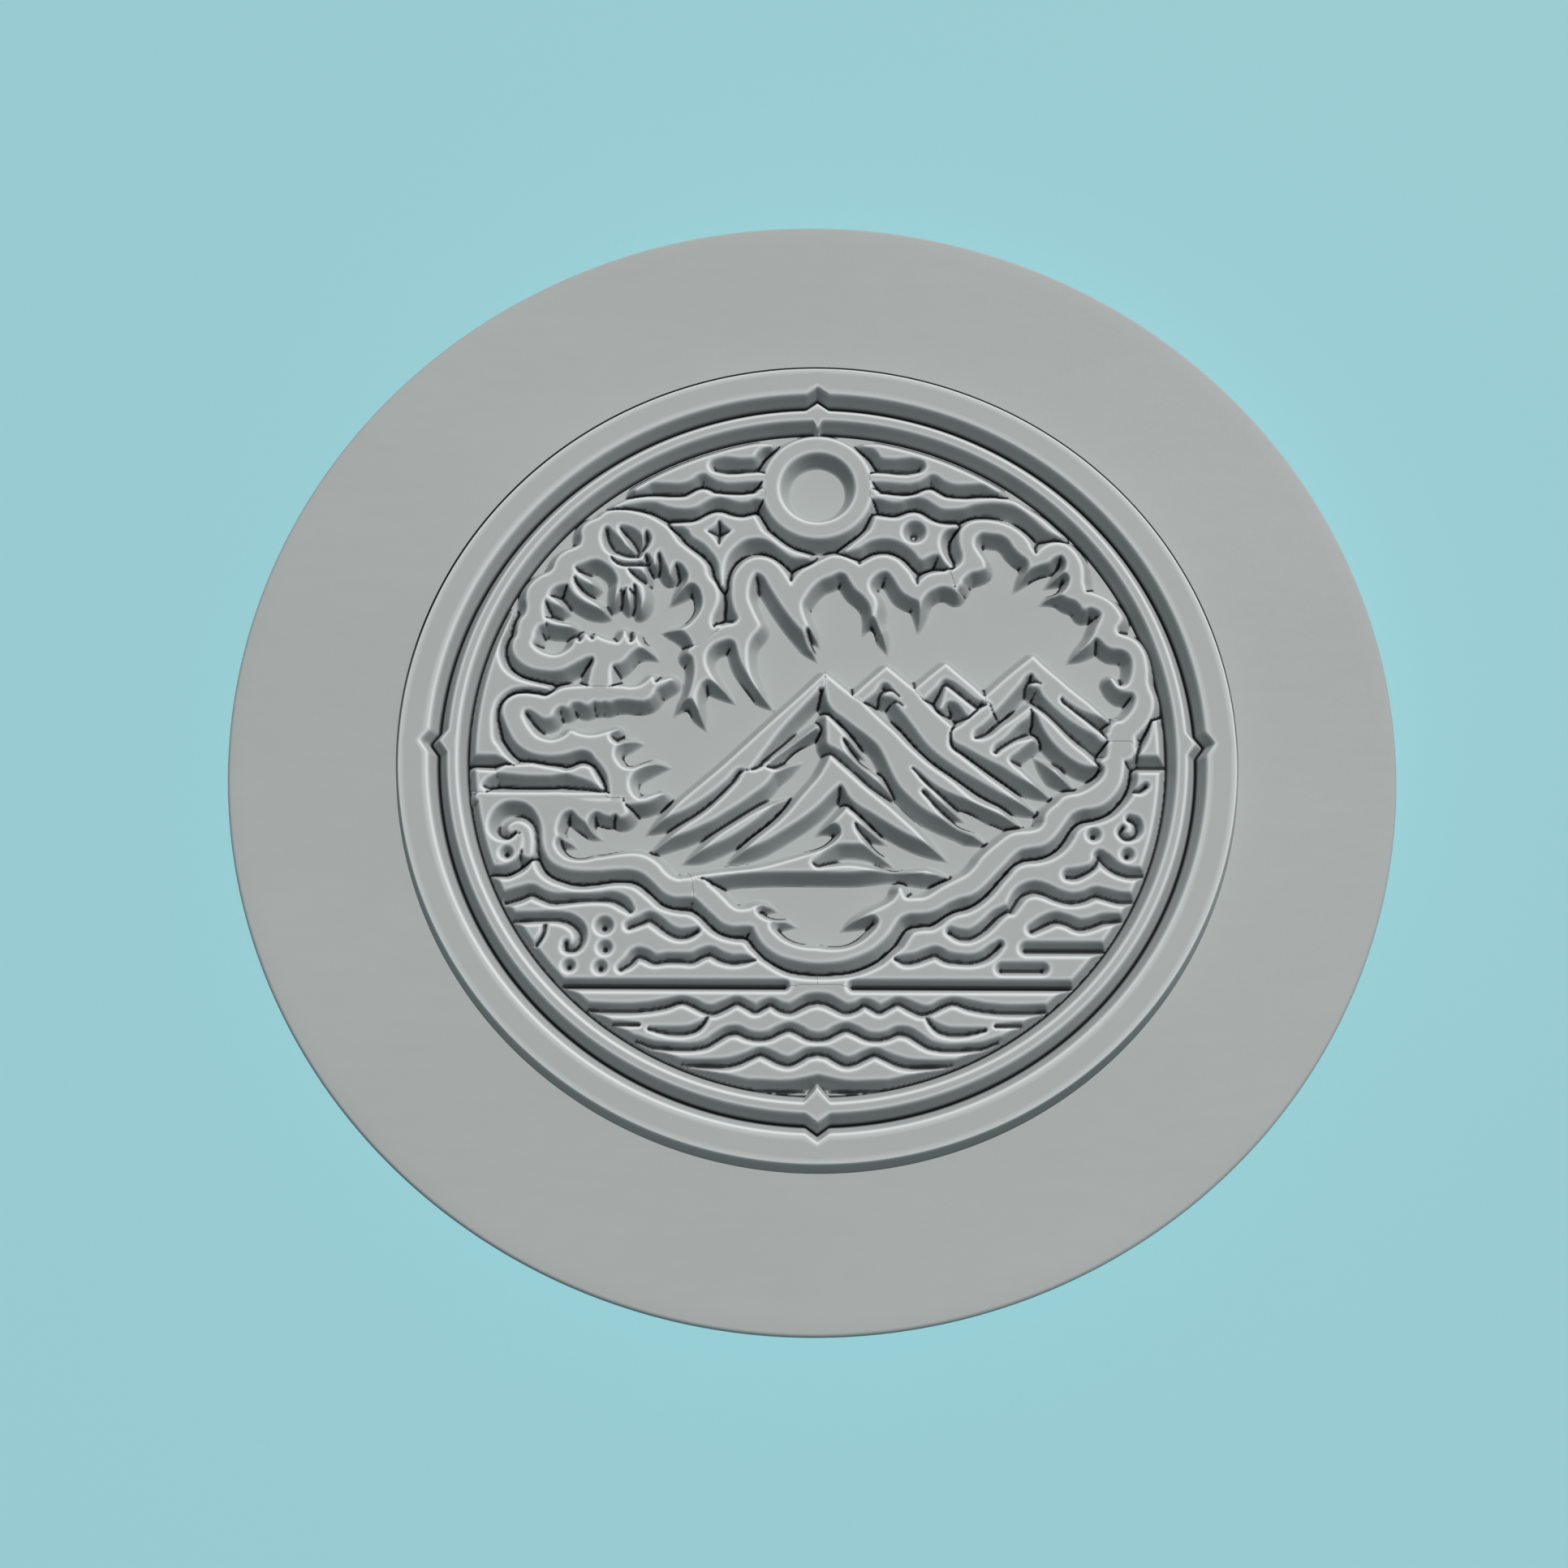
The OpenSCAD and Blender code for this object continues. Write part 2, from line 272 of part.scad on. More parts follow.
// Third peak
THIRD_PEAK = [
    [7.5, 4.7], [8.6, 5.7], [9.9, 6.8], [11, 5.8], [12.2, 4.7], [12.85, 4.05], [12.5, 3.95],
    [12.2, 4.1], [11.2, 4.95], [10.1, 5.65], [9.8, 5.7], [9.1, 5], [8.15, 4], [7.6, 4.6]
];
// Third peak: ridge running down to the shore
THIRD_RIDGE = [
    [13.2, 3.55], [12.6, 3.15], [11.8, 2.5], [11, 1.8], [10.4, 1.4], [10.3, 1], [10.4, 0.72],
    [11.4, 0.1], [12.4, -0.5], [13.3, -1], [14, -1.35], [15, -2.05], [16, -2.75], [17, -3.3],
    [18, -3.75], [17.2, -3.15], [16.4, -2.6], [15.5, -1.9], [14.7, -1.2], [14.55, -0.9], [15.2, -0.2],
    [16.4, 0.75], [15.2, 0.42], [14.3, -0.1], [13.6, -0.55], [13.3, -0.3], [13.4, 0.2], [14.2, 0.85],
    [15.2, 1.9], [16.25, 2.9], [16.35, 3.35], [15.2, 2.4], [14.2, 1.7], [13.3, 0.95], [12.4, 0.65],
    [11.9, 0.8], [11.85, 1.2], [12.8, 2.15], [13.4, 2.9]
];
// Loose facet inside the third peak
THIRD_CHIP = [
    [9.95, 4.9], [11, 4], [12, 3.15], [11.6, 2.7], [11.1, 3.35], [10.5, 3.85], [9.95, 3.85],
    [9.5, 3.3], [9.75, 4.2]
];
// Far peak
FAR_PEAK = [
    [12.9, 4.1], [14.6, 5.7], [16.65, 7.45], [17.4, 6.65], [18.4, 5.75], [19.4, 4.8], [20.4, 3.95],
    [21.4, 3.15], [22.4, 2.5], [23.25, 2.15], [22.8, 1.95], [22, 2.35], [21, 2.85], [20, 3.35],
    [19.2, 3.9], [18.7, 4.3], [18.6, 4], [19.3, 3.2], [20.2, 2.4], [21.1, 1.7], [22, 1.1],
    [22.2, 0.95], [22.2, 0.65], [21.9, 0.55], [21.2, 1.15], [20.3, 1.7], [19.4, 2.3], [18.6, 3],
    [17.9, 3.7], [17.4, 4.3], [17, 5], [16.55, 5.15], [16.9, 5.3], [17.25, 5.25], [16.85, 5.75],
    [16.5, 6.2], [16.2, 6.1], [15.5, 5.25], [14.7, 4.3], [13.9, 3.4], [13.5, 3], [13.35, 3.6]
];
// Far peak: middle ridge
FAR_RIDGE_MID = [
    [16.45, 3.3], [17.1, 2.85], [18, 1.95], [19, 0.8], [20, -0.15], [21, -0.85], [21.75, -1.2],
    [21.95, -1.6], [21, -1.6], [20, -1.15], [19, -0.45], [18.2, 0.35], [17.6, 1.2], [17.2, 2],
    [16.9, 2.75]
];
// Far peak: low ridge
FAR_RIDGE_LOW = [
    [16.6, -0.25], [17.1, -0.65], [17.9, -1.4], [18.8, -2.2], [19.9, -3.1], [18.5, -2.35],
    [17.5, -1.4]
];
// Left shore with its leaf pockets and scroll
LEFT_SHORE = [
    [-26, -3.7], [-25.3, -3.72], [-24.5, -3.75], [-21, -3.75], [-19.2, -3.75], [-18.4, -3.9],
    [-17.8, -4.05], [-16, -4.12], [-15.9, -4.12], [-14.75, -4.15], [-14.55, -4.6], [-14.35, -5.3],
    [-14.6, -5.65], [-15.1, -5.8], [-15.3, -5.5], [-15.7, -5.75], [-16.3, -5.65], [-16.8, -5.35],
    [-17.1, -5.6], [-17.2, -6.1], [-16.9, -6.6], [-16.3, -7], [-16.9, -6.8], [-17.5, -6.4],
    [-18.2, -5.7], [-18.7, -5.1], [-19.2, -5.3], [-19.5, -6], [-19.5, -6.7], [-19.2, -7.1],
    [-18.7, -7.3], [-18.2, -7.7], [-18.9, -7.45], [-19.4, -7.25], [-19.6, -7.6], [-19.4, -8.1],
    [-18.8, -8.6], [-17.8, -8.8], [-16.5, -8.65], [-15.5, -8.5], [-14.5, -8.45], [-13.5, -8.55],
    [-12.7, -8.85], [-12, -9.35], [-11.5, -9.95], [-11, -10.35], [-10.3, -10.55], [-9.5, -10.4],
    [-9.3, -11.8], [-10, -11.8], [-10.8, -11.8], [-11.4, -11.55], [-12, -11], [-12.6, -10.4],
    [-13.3, -9.9], [-14, -9.7], [-15, -9.72], [-16.5, -9.87], [-18, -9.95], [-18.8, -9.85],
    [-19.6, -9.55], [-20.2, -9.1], [-20.6, -8.4], [-20.8, -7.6], [-20.85, -6.6], [-20.95, -6],
    [-21.2, -5.4], [-21.6, -4.85], [-22.2, -4.45], [-23, -4.3], [-23.8, -4.4], [-24.4, -4.8],
    [-24.8, -5.4], [-25, -6.1], [-24.9, -6.8], [-24.5, -7.3], [-23.9, -7.55], [-23.3, -7.55],
    [-22.9, -7.3], [-22.65, -7], [-22.2, -6.9], [-22.2, -7.6], [-22.4, -8.3], [-22.8, -8.85],
    [-23.4, -9.25], [-24.1, -9.4], [-24.6, -9.3], [-25, -8], [-25.4, -6.6], [-25.8, -5.2],
    [-26.05, -4.2]
];
// Shoreline band round the lake to the right canopy
SHORE_BAND = [
    [-9.45, -10.4], [-9, -10.35], [-8.3, -10.85], [-7.6, -11.45], [-7, -12.05], [-6.5, -12.55],
    [-6, -12.8], [-5.3, -12.7], [-4.7, -12.35], [-4.2, -12.2], [-3.6, -12.25], [-3, -12.6],
    [-3.7, -12.5], [-4.2, -12.5], [-4.4, -12.85], [-4, -13.2], [-3.2, -13.4], [-2.3, -13.5],
    [-1.5, -13.8], [-2.4, -13.7], [-3.1, -13.75], [-3.3, -14.1], [-2.8, -14.75], [-2, -15.25],
    [-1, -15.6], [0, -15.75], [1.2, -15.75], [2.3, -15.55], [3.2, -15.15], [3.9, -14.65],
    [4.45, -14.1], [4.6, -13.6], [4.3, -13.25], [3.6, -13.35], [2.9, -13.6], [1.8, -14.1],
    [2.6, -13.5], [3.4, -13.15], [4.3, -12.82], [5.1, -12.5], [5.7, -12.1], [6.1, -11.5],
    [6.2, -11.15], [6.35, -11.5], [6.5, -11.85], [7.4, -11.95], [8.1, -11.88], [8.7, -11.55],
    [9.3, -11.15], [10, -10.75], [10.7, -10.4], [11.3, -10.05], [11.9, -9.45], [12.4, -8.75],
    [13, -8.15], [13.6, -7.65], [14.2, -7.15], [14.7, -6.85], [15.4, -6.7], [16.2, -6.62],
    [16.8, -6.42], [17.2, -5.9], [17.3, -5.4], [17.6, -4.95], [18.2, -4.45], [18.7, -3.95],
    [19.2, -3.75], [19.8, -3.65], [20.5, -3.35], [21.1, -2.95], [21.6, -2.5], [21.9, -2],
    [21.95, -1.5], [21.7, -1.05], [22.1, -0.7], [22.22, -0.2], [22.25, 0.5], [23.85, 0.6], [23.5, 0.1],
    [23.38, -0.8], [23.3, -1.6], [23.15, -2.4], [22.8, -3.2], [22.2, -3.95], [21.6, -4.42],
    [20.8, -4.7], [20, -4.8], [19.2, -5.2], [18.7, -5.85], [18.2, -6.55], [17.6, -7.25], [17, -7.65],
    [16, -7.85], [15.2, -8.05], [14.6, -8.55], [14, -9.2], [13.3, -9.95], [12.7, -10.6], [12, -11.25],
    [11.4, -11.6], [10.6, -11.8], [9.8, -12.15], [9.1, -12.6], [8.4, -12.9], [7.6, -13], [6.8, -13.05],
    [6.1, -13.4], [5.7, -13.95], [5.3, -14.6], [4.8, -15.2], [4, -15.9], [3, -16.42], [2, -16.75],
    [1, -16.88], [0, -16.9], [-1, -16.83], [-2, -16.65], [-2.9, -16.35], [-3.6, -15.9], [-4.2, -15.3],
    [-4.6, -14.7], [-4.9, -14.2], [-5.4, -14.08], [-6.4, -14.05], [-7.1, -13.8], [-7.6, -13.35],
    [-8.3, -12.7], [-8.9, -12.1], [-9.25, -11.8]
];
// Sliver of bank outside the pine
LEFT_BANK = [
    [-25.9, -1.9], [-26.1, 0], [-26, 3], [-25.6, 6], [-24.9, 8.6], [-23.9, 10.9], [-24.2, 9.6],
    [-24.6, 8.6], [-24.65, 7.4], [-24.2, 6.3], [-23.2, 5.5], [-22, 5.1], [-20.8, 4.8], [-22.2, 4.9],
    [-23.6, 4.7], [-24.6, 3.8], [-24.9, 2.8], [-24.6, 1.6], [-24.1, 0.5], [-23.5, -0.4], [-22.8, -1],
    [-24.5, -0.85], [-25.6, -0.85]
];
// Flat ledge under the pine limb
BANK_LEDGE = [
    [-26, -1.95], [-18.6, -1.9], [-17.9, -1.6], [-17.4, -1.7], [-17, -2.3], [-16.4, -3.3],
    [-17.2, -2.75], [-17.8, -2.5], [-25.2, -2.5], [-25.6, -3.1], [-25.2, -3.7], [-25.9, -3.7]
];

// North crest of the water, mm from the medallion's centre; the field's edge closes the rest
WATER_LEFT = [
    [-26, -10.6], [-23.2, -10.6], [-21.9, -9.9], [-21.4, -9.2], [-20.7, -10.4], [-19.3, -11.1],
    [-17.5, -11.4], [-14.5, -11.1], [-13.3, -11.6], [-11.7, -12.9], [-9.5, -13.4], [-8.6, -14.2],
    [-7.2, -15.15], [-5.5, -15.5], [-4.4, -16.7], [-3.2, -17.55], [-1.5, -18.15], [0, -18.25],
    [0, -18.65], [-26, -18.65]
];
WATER_RIGHT = [
    [0, -18.25], [1.5, -18.2], [3.5, -17.8], [5, -17.05], [5.6, -16.5], [6.5, -15.8], [7.2, -14.6],
    [8.6, -14.45], [9.9, -13.6], [11.5, -12.9], [13.5, -11.5], [15.1, -9.6], [17.4, -9], [18.9, -8],
    [19.8, -6.6], [21.9, -5.8], [23.8, -4.1], [24.4, -2.4], [24.5, -1.95], [26.5, -1.95],
    [26.5, -18.65], [0, -18.65]
];
// Grooves cut in the water: points along each, as [x, y, half width at the surface]
GROOVES_LEFT = [
    [[-23, -12, 0.7], [-21.5, -11.5, 0.65], [-20, -12.1, 0.6], [-15.3, -12, 0.6], [-14.1, -12.8, 0.45]],
    [[-22.8, -13.6, 0.5], [-19.5, -13.5, 0.55], [-18.3, -13.9, 0.6], [-17.8, -15, 0.5]],
    [[-14, -14.1, 0.45], [-12.6, -13.5, 0.55], [-11.2, -14.45, 0.55], [-9.2, -14.5, 0.4]],
    [[-14.5, -17.3, 0.4], [-13.3, -16.3, 0.55], [-12.2, -16.75, 0.55], [-9.3, -16.65, 0.55],
        [-8, -16.15, 0.55], [-6.4, -16.75, 0.55], [-4.7, -16.72, 0.2]]
];
DOTS_LEFT = [[-15.95, -14.1, 0.7], [-15.85, -15.8, 0.6], [-18.5, -17.2, 0.6], [-16.15, -17.3, 0.6]];
GROOVES_RIGHT = [
    [[23.2, -11.9, 0.55], [21, -11.5, 0.6], [19, -11.95, 0.6], [16.3, -11.1, 0.65], [14.9, -12.2, 0.6]],
    [[22, -13.45, 0.55], [19.6, -14, 0.6], [17.8, -13.45, 0.6], [16, -14.25, 0.55]],
    [[10, -14.45, 0.5], [11.3, -14.75, 0.6], [12.7, -13.95, 0.6], [13.8, -13, 0.5]],
    [[6, -16.6, 0.35], [7.3, -16.6, 0.55], [8.8, -16.1, 0.55], [10.6, -16.65, 0.55],
        [12.4, -16.4, 0.55], [13.6, -15.5, 0.45]],
    [[13.3, -17.3, 0.55], [17.1, -17.3, 0.55]],
    [[15.1, -15.75, 0.6], [20.9, -15.75, 0.6]],
    [[18.5, -10, 0.5], [20.2, -9.7, 0.5], [21.4, -8.7, 0.6], [22.6, -9.6, 0.55], [24.2, -9.85, 0.5]]
];
DOTS_RIGHT = [[20.9, -6.85, 0.6], [23.4, -8.4, 0.6], [23.7, -6.3, 0.9]];
// Wavy grooves of the low water: height of the centre line, its reach each side and its wave
LOW_WAVES = [
    [-20.3, 15, 0.3], [-22.4, 12, 0.4], [-24.2, 9, 0.35]
];
low_top = -18.65;
straight_from = 2.6;
wave_len = 4;
wave_step = 0.5;

// Puts a relief piece at the medallion's centre
module at_medallion() translate([medallion_x, medallion_y, 0]) children();

// Raises a flat shape from the medallion's floor to the relief's top
module raised() at_medallion() translate([0, 0, floor_z]) linear_extrude(relief_h) children();

module field() translate([0, -0.15]) circle(r = field_r, $fn = 180);

// A groove along a line of points [x, y, half width]
function xy(v) = [v[0], v[1]];
function along(p, i) = let (d = xy(p[min(i + 1, len(p) - 1)]) - xy(p[max(i - 1, 0)])) d / norm(d);
function side(p, i, s) = let (d = along(p, i)) xy(p[i]) + s * p[i][2] * [-d[1], d[0]];
module groove(p) polygon(concat(
    [for (i = [0 : len(p) - 1]) side(p, i, 1)],
    [for (i = [len(p) - 1 : -1 : 0]) side(p, i, -1)]
));

// A water bank: whole up to the grooves' bottoms, and cut by the grooves above
module bank(outline, grooves, dots) {
    raised() intersection() {
        difference() {
            polygon(outline);
            for (g = grooves) groove(g);
            for (d = dots) translate(xy(d)) circle(r = d[2], $fn = 12);
        }
        field();
    }
    at_medallion() translate([0, 0, floor_z]) linear_extrude(relief_h - groove_deep) intersection() {
        polygon(outline);
        field();
    }
}

module base_disc() color(stone) rotate_extrude($fn = 180) polygon([
    [0, 0], [disc_d / 2 - disc_draft - disc_edge, 0], [disc_d / 2 - disc_draft, disc_edge],
    [disc_d / 2, disc_t - disc_edge / 3], [disc_d / 2 - disc_edge / 3, disc_t], [0, disc_t]
]);

// The rim's inner foot is also the floor's edge
rim_foot = rim_in_r - slope;
module medallion_floor() color(stone) at_medallion() translate([0, 0, disc_t])
    cylinder(r = rim_foot, h = floor_h, $fn = 180);

// A pointed notch or spur at each compass point, reaching from r_low out to r_high
module compass_points(r_low, r_high, half_w) for (a = [0 : 90 : 270]) rotate(a)
    polygon([[r_low, -half_w], [r_high, 0], [r_low, half_w]]);

module rim_band() color(stone) at_medallion() difference() {
    translate([0, 0, disc_t]) rotate_extrude($fn = 180) polygon([
        [rim_foot, 0], [rim_r + slope + wall_run * floor_h, 0], [rim_r, floor_h + relief_h],
        [rim_in_r, floor_h + relief_h], [rim_foot, floor_h]
    ]);
    translate([0, 0, floor_z]) linear_extrude(relief_h + 1) compass_points(rim_in_r - 1.2, rim_in_r + point_len, 1.6);
}

module notched_ring() color(stone) at_medallion() {
    translate([0, 0, floor_z]) rotate_extrude($fn = 180) polygon([
        [ring_in_r - slope, 0], [ring_r + slope, 0], [ring_r, relief_h], [ring_in_r, relief_h]
    ]);
    translate([0, 0, floor_z]) linear_extrude(relief_h) difference() {
        compass_points(ring_in_r, ring_r + point_len, 1);
        circle(r = ring_in_r, $fn = 180);
    }
}

module sun_ring() color(stone) at_medallion() translate([0, sun_y, floor_z]) difference() {
    cylinder(r = sun_r, h = relief_h);
    translate([0, 0, -1]) cylinder(r = sun_hole_r, h = relief_h + 2);
}

module cloud_left() color(stone) raised() polygon(CLOUD);
module cloud_right() color(stone) raised() mirror([1, 0]) polygon(CLOUD);
module cloud_strip_left() color(stone) raised() polygon(STRIP_LEFT);
module cloud_strip_right() color(stone) raised() polygon(STRIP_RIGHT);

module sky_field_left() color(stone) raised() difference() {
    polygon(STARS_LEFT);
    polygon([[-7.7, 18.85], [-8.7, 17.8], [-7.7, 16.75], [-6.8, 17.85]]);
}
module sky_field_right() color(stone) raised() difference() {
    polygon(STARS_RIGHT);
    translate([7.6, 17.9]) circle(r = 1.05, $fn = 12);
}

module pine_canopy() color(stone) raised() polygon(PINE_CANOPY);
module pine_branch() color(stone) raised() polygon(PINE_BRANCH);
module hanging_fronds() color(stone) raised() difference() {
    polygon(FRONDS);
    polygon(PINE_CANOPY);
}
module right_canopy() color(stone) raised() polygon(RIGHT_CANOPY);

module near_peak_west() color(stone) raised() {
    polygon(RIDGE_WEST_LONG);
    polygon(RIDGE_WEST_MID);
    polygon(RIDGE_WEST_LOW);
}
module near_peak_east() color(stone) raised() difference() {
    polygon(RIDGE_EAST);
    polygon(RIDGE_WEST_LONG);
}
module near_peak_front() color(stone) raised() {
    polygon(RIDGE_HEART);
    polygon(RIDGE_FRONT);
}
module second_peak() color(stone) raised() polygon(SECOND_PEAK);
module third_peak() color(stone) raised() {
    polygon(THIRD_PEAK);
    polygon(THIRD_RIDGE);
    polygon(THIRD_CHIP);
}
module far_peak() color(stone) raised() {
    polygon(FAR_PEAK);
    polygon(FAR_RIDGE_MID);
    polygon(FAR_RIDGE_LOW);
}
module front_hill() color(stone) raised() polygon(FRONT_HILL);

module left_shore() color(stone) raised() intersection() {
    polygon(LEFT_SHORE);
    field();
}
module shore_band() color(stone) raised() polygon(SHORE_BAND);
module left_bank() color(stone) raised() intersection() {
    polygon(LEFT_BANK);
    field();
}
module bank_ledge() color(stone) raised() intersection() {
    polygon(BANK_LEDGE);
    field();
}
module water_left() color(stone) bank(WATER_LEFT, GROOVES_LEFT, DOTS_LEFT);
module water_right() color(stone) bank(WATER_RIGHT, GROOVES_RIGHT, DOTS_RIGHT);

// The low water: the foot of the picture, under a straight groove and crossed by wavy ones
function wave(w) = [for (x = [-w[1] : wave_step : w[1]])
    [x, w[0] + w[2] * cos(360 * x / wave_len), groove_w]];
module water_low() {
    color(stone) raised() intersection() {
        difference() {
            translate([-field_r, low_top - field_r]) square([2 * field_r, field_r]);
            for (s = [-1, 1]) groove([[s * straight_from, low_top, groove_w], [s * field_r, low_top, groove_w]]);
            for (w = LOW_WAVES) groove(wave(w));
        }
        field();
    }
}

base_disc();
medallion_floor();
rim_band();
notched_ring();
sun_ring();
cloud_left();
cloud_right();
cloud_strip_left();
cloud_strip_right();
sky_field_left();
sky_field_right();
pine_canopy();
pine_branch();
hanging_fronds();
right_canopy();
near_peak_west();
near_peak_east();
near_peak_front();
second_peak();
third_peak();
far_peak();
front_hill();
left_shore();
shore_band();
left_bank();
bank_ledge();
water_left();
water_right();
water_low();
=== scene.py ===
# %% [markdown]
# # A round pressed ink stick with a landscape medallion
# A real ink stick of this kind is one cake of soot and glue, pressed in a carved mould. The CAD model
# gives the plain disc, the medallion's floor and a flat-walled solid for every island of the relief.
# Here each island gets its true carved shape: sloping walls, softened crests and V-shaped grooves.

# %% The frame
import json
import math

import bpy
import numpy as np
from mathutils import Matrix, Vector


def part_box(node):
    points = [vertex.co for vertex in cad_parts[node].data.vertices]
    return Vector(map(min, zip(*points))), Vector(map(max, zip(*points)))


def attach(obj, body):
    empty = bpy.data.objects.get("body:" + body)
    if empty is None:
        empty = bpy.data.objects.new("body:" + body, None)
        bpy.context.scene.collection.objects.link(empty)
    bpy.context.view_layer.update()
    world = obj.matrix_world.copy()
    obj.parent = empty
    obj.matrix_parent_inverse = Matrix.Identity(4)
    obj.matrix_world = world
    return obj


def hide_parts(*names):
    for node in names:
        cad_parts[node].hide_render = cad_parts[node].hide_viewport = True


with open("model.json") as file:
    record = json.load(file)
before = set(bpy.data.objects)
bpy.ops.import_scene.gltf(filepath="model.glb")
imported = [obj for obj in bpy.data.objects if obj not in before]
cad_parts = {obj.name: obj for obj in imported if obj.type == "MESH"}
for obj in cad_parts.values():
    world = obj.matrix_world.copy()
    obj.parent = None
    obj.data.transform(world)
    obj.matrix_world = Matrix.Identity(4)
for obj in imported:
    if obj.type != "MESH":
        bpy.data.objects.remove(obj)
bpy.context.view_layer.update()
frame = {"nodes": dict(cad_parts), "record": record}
MM = 0.001
low, high = (np.array(corner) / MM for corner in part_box("base_disc"))
floor_low, floor_high = (np.array(corner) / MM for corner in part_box("medallion_floor"))
DISC_R = (high[0] - low[0]) / 2
DISC_TOP = high[2]
CENTRE = (floor_low[:2] + floor_high[:2]) / 2
FLOOR_Z = floor_high[2]
TOP_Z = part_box("rim_band")[1][2] / MM
DEPTH = TOP_Z - FLOOR_Z
print("disc radius", round(DISC_R, 2), "mm, medallion at", CENTRE.round(2), "relief depth", round(DEPTH, 2))

# %% [markdown]
# ## The camera and the light
# The stick is seen from high up, a little in front of straight down, with a long lens. The key light comes
# from behind on the right, so walls that face the viewer fall into shade, and a weak sky fills them. It
# casts no shadows: the relief is read from its slopes alone, as under a very wide soft lamp.

# %% Camera
LENS = 62.5
ELEVATION = math.radians(72.06)
ROLL = math.radians(0.25)
DISTANCE = 208.9
AIM = Vector((-2.16, -3.12, DISC_TOP))


def add_camera():
    """Looks from AIM backwards along the elevation, then turns about its own axis by the roll."""
    back = Vector((0, -math.cos(ELEVATION), math.sin(ELEVATION)))
    camera = bpy.data.objects.new("camera", bpy.data.cameras.new("camera"))
    camera.data.lens = LENS
    camera.data.sensor_width = 36
    camera.data.clip_start = 0.005
    turn = back.to_track_quat("Z", "Y").to_matrix()
    right = Vector((1, 0, 0))
    up = back.cross(right)
    across = math.cos(ROLL) * right + math.sin(ROLL) * up
    upward = -math.sin(ROLL) * right + math.cos(ROLL) * up
    for row in range(3):
        turn[row][0], turn[row][1], turn[row][2] = across[row], upward[row], back[row]
    camera.matrix_world = turn.to_4x4()
    camera.location = (AIM + back * DISTANCE) * MM
    bpy.context.collection.objects.link(camera)
    bpy.context.scene.camera = camera
    return camera


print("camera at", tuple(round(v, 3) for v in add_camera().location))

# %% Light, sky and floor
KEY_DIRECTION = Vector((0.36, 0.62, 1.0))
KEY_STRENGTH = 3.12
KEY_SOFTNESS = math.radians(16)
SKY_COLOUR = (0.86, 0.95, 1.0)
SKY_STRENGTH = 0.12
TABLE_HALF = 3.0
TABLE_COLOUR = (0.33, 0.65, 0.71)
WALL_COLOUR = (0.36, 0.62, 0.66)


def add_light():
    """One soft sun along the key direction, and an even sky. The sky itself is seen as a pale studio wall."""
    sun = bpy.data.objects.new("key", bpy.data.lights.new("key", "SUN"))
    sun.data.energy = KEY_STRENGTH
    sun.data.angle = KEY_SOFTNESS
    sun.data.color = (1.0, 0.985, 0.96)
    sun.data.use_shadow = False
    sun.rotation_euler = KEY_DIRECTION.to_track_quat("Z", "Y").to_euler()
    bpy.context.collection.objects.link(sun)
    world = bpy.data.worlds.new("studio")
    world.use_nodes = True
    nodes, links = world.node_tree.nodes, world.node_tree.links
    fill, wall = nodes["Background"], nodes.new("ShaderNodeBackground")
    fill.inputs["Color"].default_value = (*SKY_COLOUR, 1)
    fill.inputs["Strength"].default_value = SKY_STRENGTH
    wall.inputs["Color"].default_value = (*WALL_COLOUR, 1)
    seen, either = nodes.new("ShaderNodeLightPath"), nodes.new("ShaderNodeMixShader")
    links.new(seen.outputs["Is Camera Ray"], either.inputs["Fac"])
    links.new(fill.outputs["Background"], either.inputs[1])
    links.new(wall.outputs["Background"], either.inputs[2])
    links.new(either.outputs["Shader"], nodes["World Output"].inputs["Surface"])
    bpy.context.scene.world = world


def add_table():
    """A wide flat sheet just under the stick."""
    mesh = bpy.data.meshes.new("table")
    s = TABLE_HALF
    mesh.from_pydata([(-s, -s, 0), (s, -s, 0), (s, s, 0), (-s, s, 0)], [], [(0, 1, 2, 3)])
    table = bpy.data.objects.new("table", mesh)
    material = bpy.data.materials.new("table")
    material.use_nodes = True
    shader = material.node_tree.nodes["Principled BSDF"]
    shader.inputs["Base Color"].default_value = (*TABLE_COLOUR, 1)
    shader.inputs["Roughness"].default_value = 0.8
    mesh.materials.append(material)
    bpy.context.collection.objects.link(table)


add_light()
add_table()
bpy.context.scene.view_settings.view_transform = "Standard"
print("key light, sky and table are up")

# %% [markdown]
# ## The finish
# Pressed ink is matt and very finely grained. Crests are painted paler, partly wear and partly painted
# highlight, and groove bottoms are painted near-black as painted shade. Both follow the carving, so each piece
# carries them as attributes, and one node group turns them into colour, roughness and a fine grain.

# %% The pressed ink group
CAKE = (0.395, 0.425, 0.424)
# The next colour paints crests paler, partly wear and partly a painted highlight; the one after is near-black
# painted shade for groove bottoms.
WORN_AND_HIGHLIGHT = (0.70, 0.74, 0.75)
CREASE_SHADE_COLOUR = (0.012, 0.015, 0.016)


def socket(group, name, kind, way, value=None):
    """Adds one named input or output to a node group."""
    made = group.interface.new_socket(name=name, in_out=way, socket_type=kind)
    if value is not None:
        made.default_value = value


